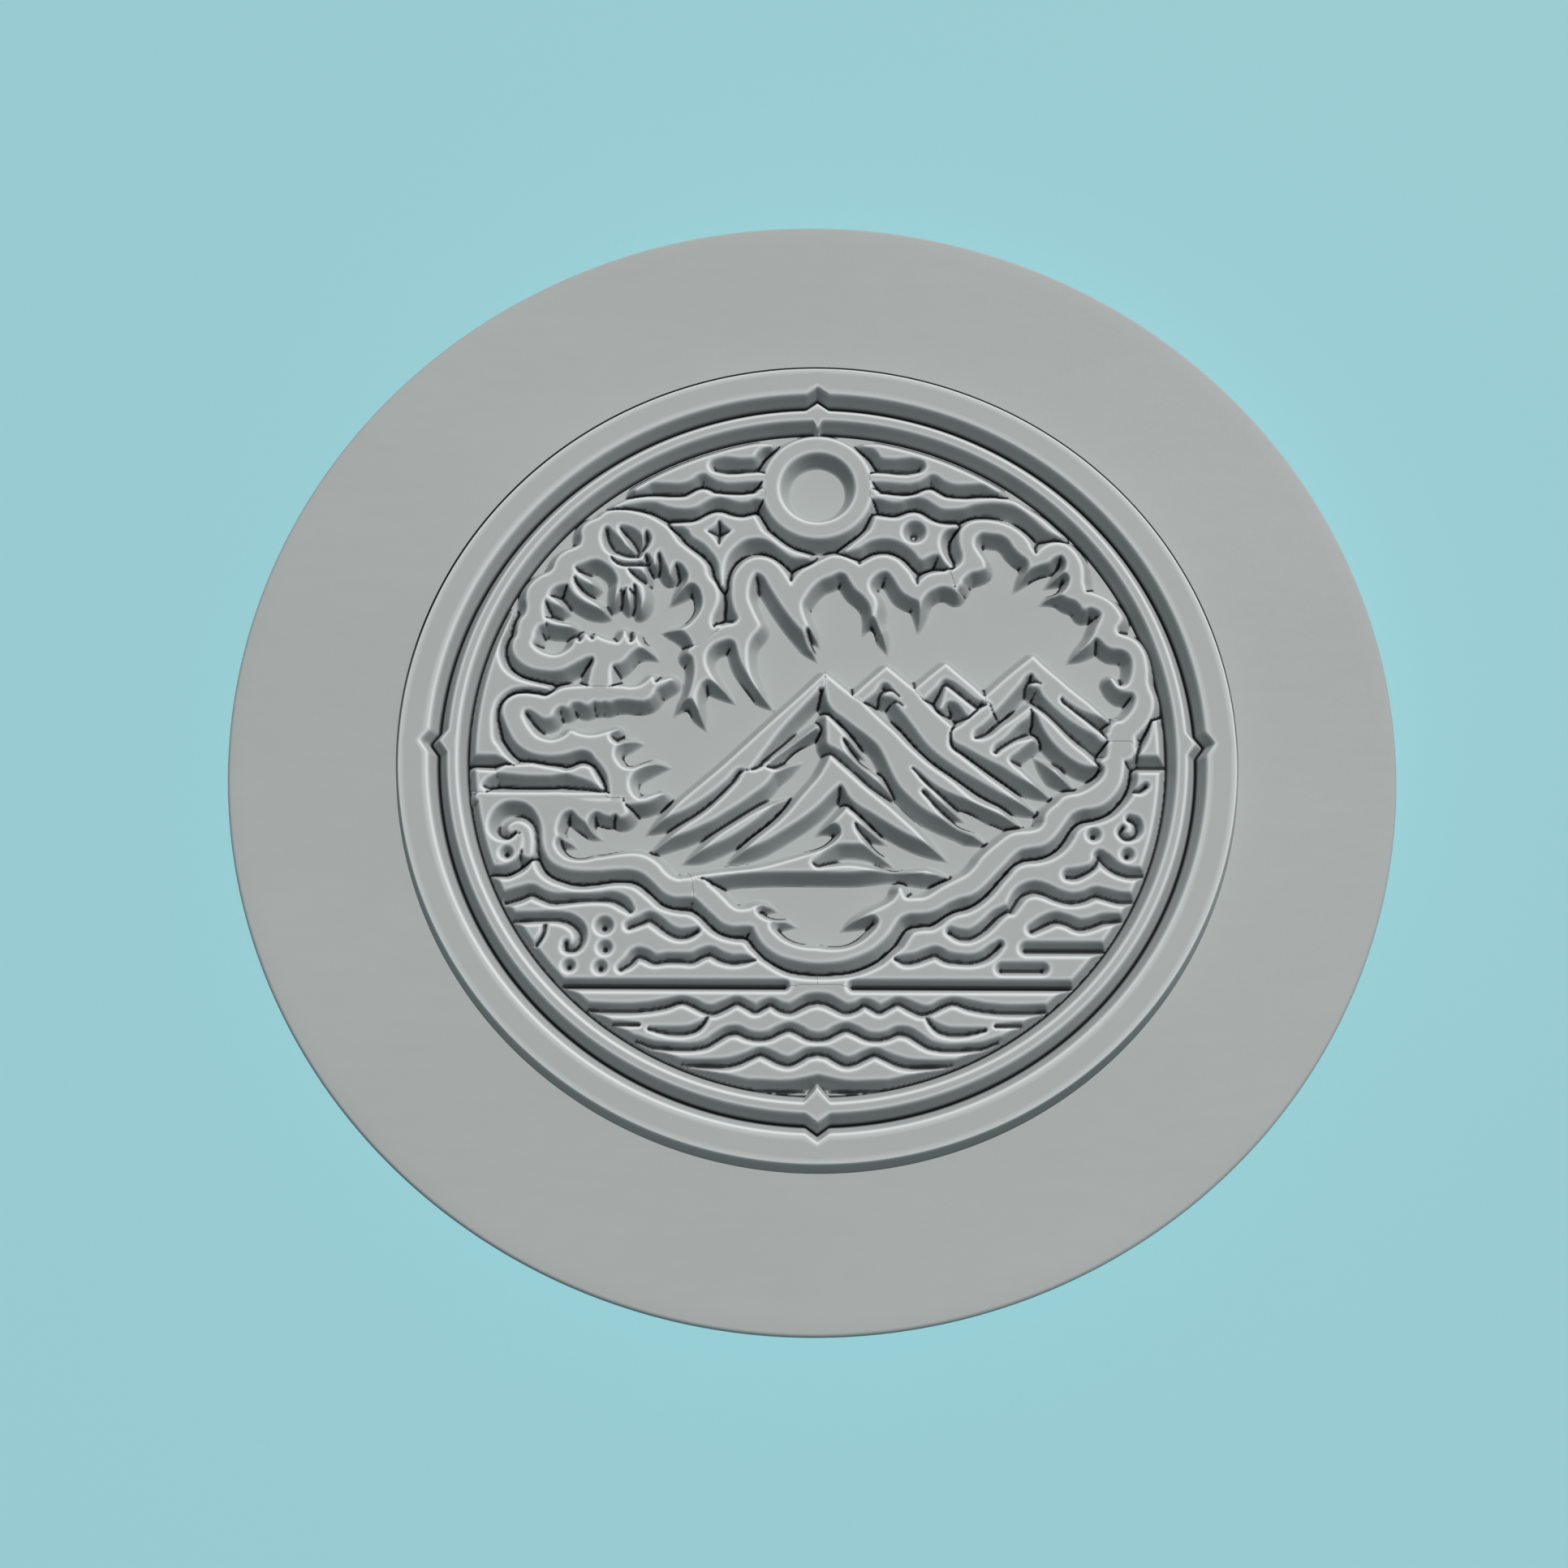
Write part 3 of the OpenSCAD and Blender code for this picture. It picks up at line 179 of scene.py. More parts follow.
def ink_group():
    """Colour is the cake's, clouded by a broad noise, paled by one attribute as wear and painted highlight, and
    darkened by the other as painted shade.
    """
    group = bpy.data.node_groups.new("pressed_ink", "ShaderNodeTree")
    socket(group, "Cake", "NodeSocketColor", "INPUT", (*CAKE, 1))
    socket(group, "Worn_and_highlight", "NodeSocketColor", "INPUT", (*WORN_AND_HIGHLIGHT, 1))
    socket(group, "Clouding", "NodeSocketFloat", "INPUT", 0.05)
    socket(group, "Color", "NodeSocketColor", "OUTPUT")
    socket(group, "Roughness", "NodeSocketFloat", "OUTPUT")
    socket(group, "Height", "NodeSocketFloat", "OUTPUT")
    nodes, links = group.nodes, group.links
    given, result = nodes.new("NodeGroupInput"), nodes.new("NodeGroupOutput")
    place = nodes.new("ShaderNodeTexCoord")
    stretch = nodes.new("ShaderNodeMapping")
    stretch.inputs["Scale"].default_value = (0.35, 1, 1)
    links.new(place.outputs["Object"], stretch.inputs["Vector"])

    def noise(scale, detail, source):
        made = nodes.new("ShaderNodeTexNoise")
        made.inputs["Scale"].default_value = scale
        made.inputs["Detail"].default_value = detail
        links.new(source, made.inputs["Vector"])
        return made.outputs["Fac"]

    broad = noise(70, 4, stretch.outputs["Vector"])
    grain = noise(5200, 3, place.outputs["Object"])
    streak = noise(900, 3, stretch.outputs["Vector"])

    def mix(factor, a, b):
        made = nodes.new("ShaderNodeMix")
        made.data_type = "RGBA"
        links.new(factor, made.inputs["Factor"])
        for value, target in ((a, made.inputs[6]), (b, made.inputs[7])):
            if hasattr(value, "links"):
                links.new(value, target)
            else:
                target.default_value = (*value, 1)
        return made.outputs[2]

    def maths(kind, a, b):
        made = nodes.new("ShaderNodeMath")
        made.operation = kind
        for slot, value in enumerate((a, b)):
            if hasattr(value, "links"):
                links.new(value, made.inputs[slot])
            else:
                made.inputs[slot].default_value = value
        return made.outputs[0]

    def attribute(name):
        made = nodes.new("ShaderNodeAttribute")
        made.attribute_name = name
        return made.outputs["Fac"]

    both = maths("ADD", maths("MULTIPLY", broad, 0.7), maths("MULTIPLY", streak, 0.3))
    swing = maths("MULTIPLY", maths("SUBTRACT", both, 0.5), given.outputs["Clouding"])
    shade = maths("ADD", swing, 1.0)
    scaled = nodes.new("ShaderNodeVectorMath")
    scaled.operation = "SCALE"
    links.new(given.outputs["Cake"], scaled.inputs[0])
    links.new(shade, scaled.inputs["Scale"])
    # Crests go paler, partly wear and partly painted highlight; groove bottoms go near-black as painted shade.
    paled = mix(attribute("worn"), scaled.outputs[0], given.outputs["Worn_and_highlight"])
    colour = mix(attribute("crease_shade"), paled, CREASE_SHADE_COLOUR)
    links.new(colour, result.inputs["Color"])
    rough = maths("ADD", 0.5, maths("MULTIPLY", grain, 0.2))
    links.new(rough, result.inputs["Roughness"])
    links.new(maths("ADD", maths("MULTIPLY", grain, 0.6), maths("MULTIPLY", streak, 0.4)),
              result.inputs["Height"])
    return group


INK = ink_group()
print("pressed ink group with", len(INK.nodes), "nodes")

# %% A material for each slot
GRAIN_DEPTH = 0.012 * MM


def ink_material(name, clouding, cake=CAKE, worn=WORN_AND_HIGHLIGHT):
    """The group feeds a matt Principled shader, and its height becomes a fine bump."""
    material = bpy.data.materials.new(name)
    material.use_nodes = True
    nodes, links = material.node_tree.nodes, material.node_tree.links
    shader = nodes["Principled BSDF"]
    shader.inputs["Specular IOR Level"].default_value = 0.25
    finish = nodes.new("ShaderNodeGroup")
    finish.node_tree = INK
    finish.inputs["Cake"].default_value = (*cake, 1)
    # The pale crest colour stands partly for wear and partly for a painted highlight.
    finish.inputs["Worn_and_highlight"].default_value = (*worn, 1)
    finish.inputs["Clouding"].default_value = clouding
    bump = nodes.new("ShaderNodeBump")
    bump.inputs["Strength"].default_value = 0.5
    bump.inputs["Distance"].default_value = GRAIN_DEPTH
    links.new(finish.outputs["Height"], bump.inputs["Height"])
    links.new(bump.outputs["Normal"], shader.inputs["Normal"])
    links.new(finish.outputs["Color"], shader.inputs["Base Color"])
    links.new(finish.outputs["Roughness"], shader.inputs["Roughness"])
    return material


FINISH = {
    "disc": ink_material("disc", 0.16),
    "floor": ink_material("floor", 0.08),
    "rims": ink_material("rims", 0.1),
    "relief": ink_material("relief", 0.1),
}
SLOT_OF = {entry["node"]: entry["material_slot"] for entry in frame["record"]["subparts"]}
print("materials:", ", ".join(FINISH))

# %% [markdown]
# ## Carving with distances
# A mould cutter leaves the same wall everywhere: from the crest it falls at one slope to the floor, and where
# two walls meet first, the groove ends in a V. So the whole relief is one rule. Every point's distance from
# the nearest crest outline is worked out on a fine grid, and the height follows from it alone.

# %% The wall's rule
WALL_SLOPE = 1.86
CREST_SOFT = 0.13
FOOT_SOFT = 0.1
FOOT = DEPTH / WALL_SLOPE


def fall(distance, depth=DEPTH):
    """Drop below the crest: nothing inside, then the slope times the distance, never over the depth. Both
    corners are parabolas that meet the straight parts with the same slope."""
    eased = np.clip(distance + CREST_SOFT, 0, 2 * CREST_SOFT)
    drop = WALL_SLOPE * (eased ** 2 / (4 * CREST_SOFT) + np.maximum(distance - CREST_SOFT, 0))
    soft = WALL_SLOPE * FOOT_SOFT
    near = np.clip(drop - (depth - soft), 0, 2 * soft)
    return np.minimum(drop, depth + soft) - near ** 2 / (4 * soft)


print("walls run out", round(FOOT, 2), "mm for", round(DEPTH, 2), "mm of depth")


# %% Smooth lines through given points
ARC_STEPS = 4


def through(points):
    """Hermite arcs through the points. The direction at a point averages those of its two neighbours' chords,
    each weighted by the other's length, and at the two ends it is the chord's own."""
    p = np.array(points, float)
    chord = np.diff(p, axis=0)
    size = np.linalg.norm(chord[:, :2], axis=1)[:, None]
    unit = chord / size
    inner = (unit[:-1] * size[1:] + unit[1:] * size[:-1]) / (size[1:] + size[:-1])
    way = np.vstack([unit[:1], inner, unit[-1:]])
    t = np.linspace(0, 1, ARC_STEPS, endpoint=False)[None, :, None]
    a, b, size = p[:-1, None], p[1:, None], size[:, None]
    arc = (2 * t**3 - 3 * t**2 + 1) * a + (3 * t**2 - 2 * t**3) * b
    arc = arc + size * ((t**3 - 2 * t**2 + t) * way[:-1, None] + (t**3 - t**2) * way[1:, None])
    return np.vstack([arc.reshape(-1, p.shape[1]), p[-1:]])


def outline(points):
    """A closed smooth line. A point with a third number is a sharp corner, where a new arc starts."""
    n = len(points)
    corners = [i for i in range(n) if len(points[i]) > 2]
    if not corners:
        return through(points[-2:] + points + points[:2])[2 * ARC_STEPS : (2 + n) * ARC_STEPS]
    runs = []
    for this, nxt in zip(corners, corners[1:] + [corners[0] + n]):
        runs.append(through([points[k % n][:2] for k in range(this, nxt + 1)])[:-1])
    return np.vstack(runs)


# %% The grid and its distances
STEP = 0.1
REACH = 27.2
axis = np.arange(-REACH, REACH + STEP / 2, STEP)
GX, GY = np.meshgrid(axis, axis, indexing="ij")
FAR = 9.0
MARGIN = FOOT + 4 * STEP


def window(points, margin):
    """The part of the grid that lies within the margin of the points."""
    lo = np.searchsorted(axis, points[:, :2].min(0) - margin)
    hi = np.searchsorted(axis, points[:, :2].max(0) + margin)
    return slice(lo[0], hi[0]), slice(lo[1], hi[1])


def to_line(x, y, a, b):
    """Distance from grid points to the straight bit a-b, and how far along it the nearest place is."""
    dx, dy = b[0] - a[0], b[1] - a[1]
    along = np.clip(((x - a[0]) * dx + (y - a[1]) * dy) / max(dx * dx + dy * dy, 1e-12), 0, 1)
    return np.hypot(x - a[0] - along * dx, y - a[1] - along * dy), along


TIP_ANGLE = math.radians(72)
TIP_FINEST = 0.1
TIP_LONGEST = 2.6
TIP_EASE = 1.55
NORTHWARD = 0.6
# Places where a sharp corner meets another island and stays whole: x, y, radius
HELD = [[0.6, 4.8, 2], [-16.75, 5, 1.3], [-8.2, 9.3, 1.6], [10.6, 13.8, 1.4], [23.1, 0.6, 1.5],
        [-15.3, -4.1, 1], [-9.5, -11.1, 1.6], [-25.5, -2.5, 3], [16.5, 2.6, 1.9], [-24.5, 10, 2],
        [3.1, 3.9, 0.8], [7.7, 4.4, 0.8], [13.1, 3.8, 0.9], [0.6, 2.3, 1.2], [0.9, -0.7, 1.3], [2, -3.8, 1],
        [5.3, 3.8, 1], [9.9, 4.2, 1.2]]


def tips(points, upward):
    """The sharp outward corners of an outline, those that point north only if upward is set, each with the
    length over which its ridge sinks to the floor: the foot's run over the sine of half the corner's angle,
    as two mitred walls would meet."""
    p = [point[:2] for point in points]
    x, y = np.array(p).T
    turn_way = np.sign(np.sum(x * np.roll(y, -1) - y * np.roll(x, -1)))
    found = []
    for before, at, after, point in zip(p[-1:] + p[:-1], p, p[1:] + p[:1], points):
        back, ahead = np.subtract(before, at), np.subtract(after, at)
        turn = ahead[0] * back[1] - ahead[1] * back[0]
        angle = math.acos(np.clip(back @ ahead / (np.linalg.norm(back) * np.linalg.norm(ahead)), -1, 1))
        points_up = -(back / np.linalg.norm(back) + ahead / np.linalg.norm(ahead))[1] > NORTHWARD
        held = any(math.hypot(at[0] - x0, at[1] - y0) < r for x0, y0, r in HELD)
        sharp = len(point) > 2 and turn * turn_way > 0 and angle < TIP_ANGLE
        if sharp and not held and (upward or not points_up):
            found.append((*at, min(FOOT / math.sin(max(angle / 2, TIP_FINEST)), TIP_LONGEST)))
    return found


def island(points, sink=True, upward=True):
    """Distance outside a closed outline, negative inside. Each straight bit only updates the grid close to
    it, and a point is inside where a line to its right crosses the outline an odd number of times. At its
    tips the island sinks: there the distance grows by the foot's run."""
    line = outline(points)
    gap = np.full(GX.shape, FAR)
    inside = np.zeros(GX.shape, bool)
    for a, b in zip(line, np.roll(line, -1, 0)):
        near = window(np.array([a, b]), MARGIN)
        gap[near] = np.minimum(gap[near], to_line(GX[near], GY[near], a, b)[0])
        if a[1] != b[1]:
            j0, j1 = np.searchsorted(axis, sorted((a[1], b[1])))
            cross = a[0] + (axis[j0:j1] - a[1]) * (b[0] - a[0]) / (b[1] - a[1])
            inside[:, j0:j1] ^= axis[:, None] < cross
    gap = np.where(inside, -gap, gap)
    sunk = np.zeros(GX.shape)
    for x, y, length in tips(points, upward) if sink else []:
        sunk = np.maximum(sunk, 1 - np.hypot(GX - x, GY - y) / (TIP_EASE * length))
    return gap + FOOT * sunk ** 2


def band(points, best=None):
    """How far inside a band with round ends each grid point is: half its width there less the distance."""
    line = through(points) if len(points) > 2 else np.array(points, float)
    best = np.full(GX.shape, -FAR) if best is None else best
    for a, b in zip(line[:-1], line[1:]):
        near = window(np.array([a, b]), max(a[2], b[2]) + MARGIN)
        gap, along = to_line(GX[near], GY[near], a, b)
        best[near] = np.maximum(best[near], a[2] + (b[2] - a[2]) * along - gap)
    return best


def spot(x, y, r):
    """How far inside a round pit each grid point is."""
    return r - np.hypot(GX - x, GY - y)


FIELD_R = 26.0
FIELD_Y = -0.15
field = np.hypot(GX, GY - FIELD_Y) - FIELD_R
print("grid of", GX.size, "points,", STEP, "mm apart")

# %% [markdown]
# ## The outlines
# A mould cutter starts from a drawing of the crests. These are the same outlines as the CAD islands, in
# millimetres from the medallion's centre. A third number, 1, marks a sharp corner. Elsewhere the line runs
# smoothly through the points. Each point is given one by one, as in a drawing, because these forms follow no
# rule.
# A curve object could hold them too, but plain lists are easy to read and to change.

# %% [markdown]
# ### The sky
# Behind the sun lie flat clouds with wavy undersides, and below them two star fields with a pit each. They
# could be swept strips, but their two edges wave differently, so each is a closed outline.

# %% The sky: clouds, strips and star fields
CLOUD = [
    [-14.3, 21.4], [-13, 22.25], [-11.5, 23.05], [-10, 23.75], [-8, 24.48], [-6, 25.05], [-4.6, 25.33],
    [-3.7, 25.3, 1], [-4.4, 25.1], [-4.85, 24.7], [-5.1, 24.3], [-5.5, 24.22], [-8, 24.22], [-8.5, 23.95],
    [-8.65, 23.5], [-8.45, 23.05], [-8, 22.82], [-4.6, 22.82], [-3.9, 22.82, 1], [-3.9, 22.2, 1], [-5, 22.22],
    [-7.9, 22.25], [-8.4, 22.55], [-8.9, 22.87], [-9.4, 22.8], [-10, 22.35], [-10.6, 22.08], [-12, 22.05],
    [-13.2, 22.03], [-13.8, 21.62]
]
STRIP_LEFT = [
    [-15.9, 19.95, 1], [-15, 20.4], [-14.2, 20.62], [-11, 20.66], [-10.3, 20.72], [-9.8, 21], [-9.2, 21.32],
    [-8.8, 21.32], [-8.3, 21.05], [-7.8, 20.98], [-5.2, 20.98], [-4.75, 21.1], [-4.4, 21.5], [-3.9, 21.6, 1],
    [-3.9, 20.6, 1], [-4.5, 20.68], [-5, 20.72], [-5.6, 20.5], [-6.2, 20.45], [-6.9, 20.65], [-7.6, 20.85],
    [-8.3, 20.75], [-9, 20.4], [-9.6, 20], [-10.2, 19.87], [-11.3, 19.92], [-12, 20.1], [-12.7, 20.38],
    [-13.6, 20.42], [-14.6, 20.25]
]
STRIP_RIGHT = [
    [3.9, 21.6, 1], [4.4, 21.5], [4.8, 21.08], [5.3, 21], [8, 21.05], [8.4, 21.28], [8.9, 21.38],
    [9.3, 21.15], [9.9, 20.8], [10.6, 20.66], [15, 20.6], [15.5, 20.45], [16.3, 19.9], [17, 19.4],
    [17.7, 18.85], [18.3, 18.25], [19, 17.6, 1], [18.2, 17.95], [17.7, 18.35], [17.2, 18.85], [16.6, 19.4],
    [15.9, 19.95], [15.3, 20.25], [14.5, 20.42], [13, 20.42], [12.2, 20.28], [11.4, 20], [10.5, 19.9],
    [9.8, 19.93], [9.2, 20.3], [8.5, 20.75], [7.8, 20.93], [7.1, 20.82], [6.5, 20.55], [5.9, 20.5],
    [5.2, 20.68], [4.6, 20.82], [3.9, 20.7, 1]
]
STARS_LEFT = [
    [-11.3, 18.4, 1], [-10.4, 18.47], [-9.8, 18.52], [-9.2, 18.72], [-8.6, 19.08], [-8, 19.33], [-7.6, 19.33],
    [-7, 19.12], [-6.4, 18.98], [-5.9, 18.93], [-5.3, 19.05], [-4.95, 19.15, 1], [-4.65, 18.6], [-4.3, 17.95],
    [-3.7, 17.45], [-3.1, 16.92], [-2.5, 16.48], [-1.9, 16.15], [-1.2, 15.92], [-0.7, 15.75, 1], [-1.4, 15.7],
    [-1.9, 15.75], [-2.3, 15.97], [-2.9, 16.45], [-3.5, 16.95], [-4.2, 17.3], [-5, 17.37], [-5.8, 17.15],
    [-6.5, 16.6], [-7, 15.95], [-7.27, 15.2], [-7.35, 14.3], [-7.4, 13.4, 1], [-7.55, 14.3], [-7.65, 15.1],
    [-7.9, 15.7], [-8.3, 16.25], [-8.8, 16.8], [-9.3, 17.15], [-9.75, 17.45], [-10.1, 18], [-10.5, 18.3]
]
STARS_RIGHT = [
    [4.6, 19.15, 1], [5.2, 19.05], [5.8, 18.98], [6.4, 19.02], [6.9, 19.22], [7.4, 19.4], [7.9, 19.35],
    [8.4, 19.03], [8.9, 18.73], [9.5, 18.52], [10.2, 18.42], [10.8, 18.4, 1], [10.1, 18.15], [9.75, 17.8],
    [9.57, 17.3], [9.6, 16.5], [9.85, 15.8], [10.3, 15.1], [10.45, 14.9, 1], [10.05, 15.3], [9.78, 15.7],
    [9.55, 16.02], [9, 16.03], [8.5, 15.8], [8.1, 15.6], [7.7, 16.1], [7.2, 16.6], [6.6, 17.02], [5.9, 17.3],
    [5, 17.37], [4.2, 17.2], [3.6, 16.9], [3.2, 16.6], [2.3, 16.3, 1], [2.9, 16.85], [3.5, 17.35], [4, 17.85],
    [4.2, 18.1], [4.4, 18.6]
]
print("the sky: clouds, strips and star fields:", 5, "outlines")

# %% [markdown]
# ### The pine and the fronds
# A pine leans in from the left and its fronds hang across the sky, with another canopy on the right. Their
# edges are deeply toothed. The teeth are thin, so the tips must sink to the floor instead of ending in a cliff.

# %% The pine, its limb and the hanging fronds
PINE_CANOPY = [
    [-7.3, 9.9, 1], [-8.1, 9.8], [-8.25, 10.2], [-8.2, 10.7], [-7.92, 11.4], [-7.72, 12.1], [-7.75, 12.8],
    [-8, 13.4], [-8.4, 13.9], [-8.6, 14.3], [-8.75, 14.9], [-9.2, 15.5], [-9.8, 16], [-10.4, 16.5],
    [-10.9, 16.95], [-11.3, 17.55], [-11.7, 18.1], [-12.2, 18.5], [-12.8, 18.88], [-13.5, 19.22],
    [-14.2, 19.42], [-15, 19.57], [-15.8, 19.6], [-16.6, 19.42], [-17.15, 18.95], [-17.9, 18.6],
    [-18.3, 18.25], [-18.45, 17.8], [-18.4, 17.2], [-18.5, 16.7], [-18.9, 16.4], [-19.6, 16.1], [-20.2, 15.6],
    [-20.45, 15.1], [-20.6, 14.6], [-20.9, 14.3], [-21.5, 14], [-22.1, 13.5], [-22.5, 12.9], [-22.6, 12.2],
    [-22.5, 11.5], [-22.6, 10.9], [-23, 10.3], [-23.15, 9.7], [-23.2, 9.1], [-23.45, 8.6], [-23.5, 8],
    [-23.3, 7.4], [-22.8, 6.85], [-22.1, 6.45], [-21.3, 6.28], [-20.4, 6.22], [-19.8, 6.32], [-19.1, 6.68],
    [-18.4, 7.08], [-17.7, 7.4], [-17.3, 7.4], [-17.15, 7], [-17.35, 6.3], [-17.5, 5.6], [-17.6, 5, 1],
    [-15.9, 4.95, 1], [-15.95, 5.6], [-15.95, 6.3], [-15.8, 6.75], [-15.3, 6.85], [-14.9, 7.1], [-14.5, 7.5],
    [-14, 7.85], [-13.3, 7.95], [-12.7, 7.75], [-12.2, 7.5, 1], [-12.7, 7.95], [-13.2, 8.3], [-13.75, 8.75],
    [-14, 9.35, 1], [-14.25, 8.75], [-14.45, 8.6], [-14.7, 8.9], [-14.95, 9.5, 1], [-15.1, 8.9], [-15.4, 8.5],
    [-15.9, 8.55], [-16.5, 8.72], [-17.1, 9, 1], [-17.4, 8.7], [-17.7, 8.85], [-17.95, 9.15, 1],
    [-18.15, 8.7], [-18.4, 8.55], [-18.65, 8.7], [-18.9, 8.2], [-19.4, 7.72], [-20.1, 7.4], [-21, 7.5],
    [-21.8, 7.95], [-22.15, 8.45], [-22, 8.9], [-21.9, 9.5], [-21.6, 9.95], [-21.1, 10.15], [-21.2, 10.6],
    [-21.3, 11.2], [-21.25, 11.9], [-21, 12.35], [-20.85, 12.8], [-20.4, 13.25], [-19.7, 13.45],
    [-19.15, 13.45], [-19.05, 13.9], [-18.9, 14.4], [-19, 14.85], [-18.4, 15.2], [-17.6, 15.5], [-17.1, 15.5],
    [-16.4, 15.1], [-15.8, 14.5], [-15.5, 13.7], [-15.5, 13.2], [-15.15, 13.05], [-14.8, 13.2], [-14.5, 13],
    [-14.3, 13.5], [-13.8, 13.4], [-13.5, 13.9], [-13.6, 14.7], [-13.75, 15.6], [-13.45, 16.1],
    [-13.05, 15.9], [-12.75, 15.2], [-12.6, 16], [-12.35, 16.3], [-12.05, 15.8], [-11.75, 14.9],
    [-11.5, 14.2], [-11.35, 14.8], [-11.1, 15.3], [-10.7, 15.2], [-10.3, 14.7], [-10.12, 14.2],
    [-10.25, 13.7], [-10.7, 13.2], [-11.5, 12.05, 1], [-10.6, 12.85], [-10.1, 13.3], [-9.7, 13.42],
    [-9.3, 13.1], [-9.05, 12.5], [-8.98, 11.9], [-9.1, 11.3], [-9.4, 10.75], [-9.9, 10.2], [-10.5, 9.93],
    [-11.3, 9.9], [-12.1, 9.85, 1], [-11.5, 9.65], [-10.9, 9.5], [-10.2, 9.15], [-9.75, 8.6], [-9.6, 8.2]
]
PINE_BRANCH = [
    [-17.6, 4.9, 1], [-18.3, 4.85], [-19, 4.8], [-19.7, 4.65], [-20.3, 4.3], [-20.9, 4], [-21.5, 4.1],
    [-22.4, 4.22], [-23.1, 4.15], [-23.65, 3.85], [-24, 3.4], [-24.1, 2.8], [-23.9, 2.1], [-23.6, 1.4],
    [-23.3, 0.8], [-22.9, 0.25], [-22.4, -0.15], [-21.9, -0.42], [-21.2, -0.6], [-20, -0.65], [-19.2, -0.5],
    [-18.5, -0.27], [-17.9, -0.2], [-17.3, -0.42], [-16.9, -0.9], [-16.4, -1.5], [-15.95, -2.25], [-15.8, -3],
    [-15.75, -3.7], [-15.9, -4.1, 1], [-14.7, -4.1, 1], [-14.6, -4.5], [-14.1, -4.5], [-13.6, -4.45],
    [-13, -4.35], [-12.4, -4.1], [-11.75, -3.65, 1], [-12.5, -3.9], [-13.1, -4.15], [-13.6, -4.2],
    [-14, -3.9], [-14.3, -3.3], [-14.35, -2.7], [-14.1, -2.15], [-13.5, -1.75], [-12.6, -1.45],
    [-11.2, -1.2, 1], [-12, -1], [-12.8, -1.15], [-13.5, -1.45], [-14.2, -1.72], [-14.8, -1.62],
    [-15.2, -1.2], [-15.45, -0.6], [-15.35, -0.1], [-15, 0.25], [-14.4, 0.4], [-13.3, 0.72, 1], [-14.1, 0.82],
    [-14.8, 0.62], [-15.3, 0.38], [-15.75, 0.6], [-15.9, 1], [-15.3, 1.5, 1], [-16.2, 1.15], [-16.9, 0.9],
    [-17.5, 0.85], [-18.3, 1], [-18.9, 1.22], [-19.2, 0.9], [-19.7, 0.6], [-20.2, 0.45], [-20.8, 0.5],
    [-21.5, 0.8], [-22, 1.35], [-22.4, 2], [-22.62, 2.65], [-22.5, 3], [-22.1, 3.05], [-21.5, 2.7],
    [-20.9, 2.35], [-20.45, 2.5], [-20.2, 3], [-19.7, 3.35], [-19.25, 3.25], [-18.9, 3.6], [-18.3, 3.68],
    [-17.7, 3.45], [-17.3, 3.7], [-16.7, 3.85], [-16, 3.7], [-15.6, 3.85], [-15, 3.92], [-13, 3.92],
    [-12.7, 4.3], [-12.45, 4.8], [-11.9, 5.15], [-11.3, 5.55, 1], [-12, 5.35], [-12.5, 5.2],
    [-12.75, 5.65, 1], [-13.2, 5.2], [-13.7, 4.9], [-14.3, 4.78], [-15, 4.85], [-15.9, 4.9, 1]
]
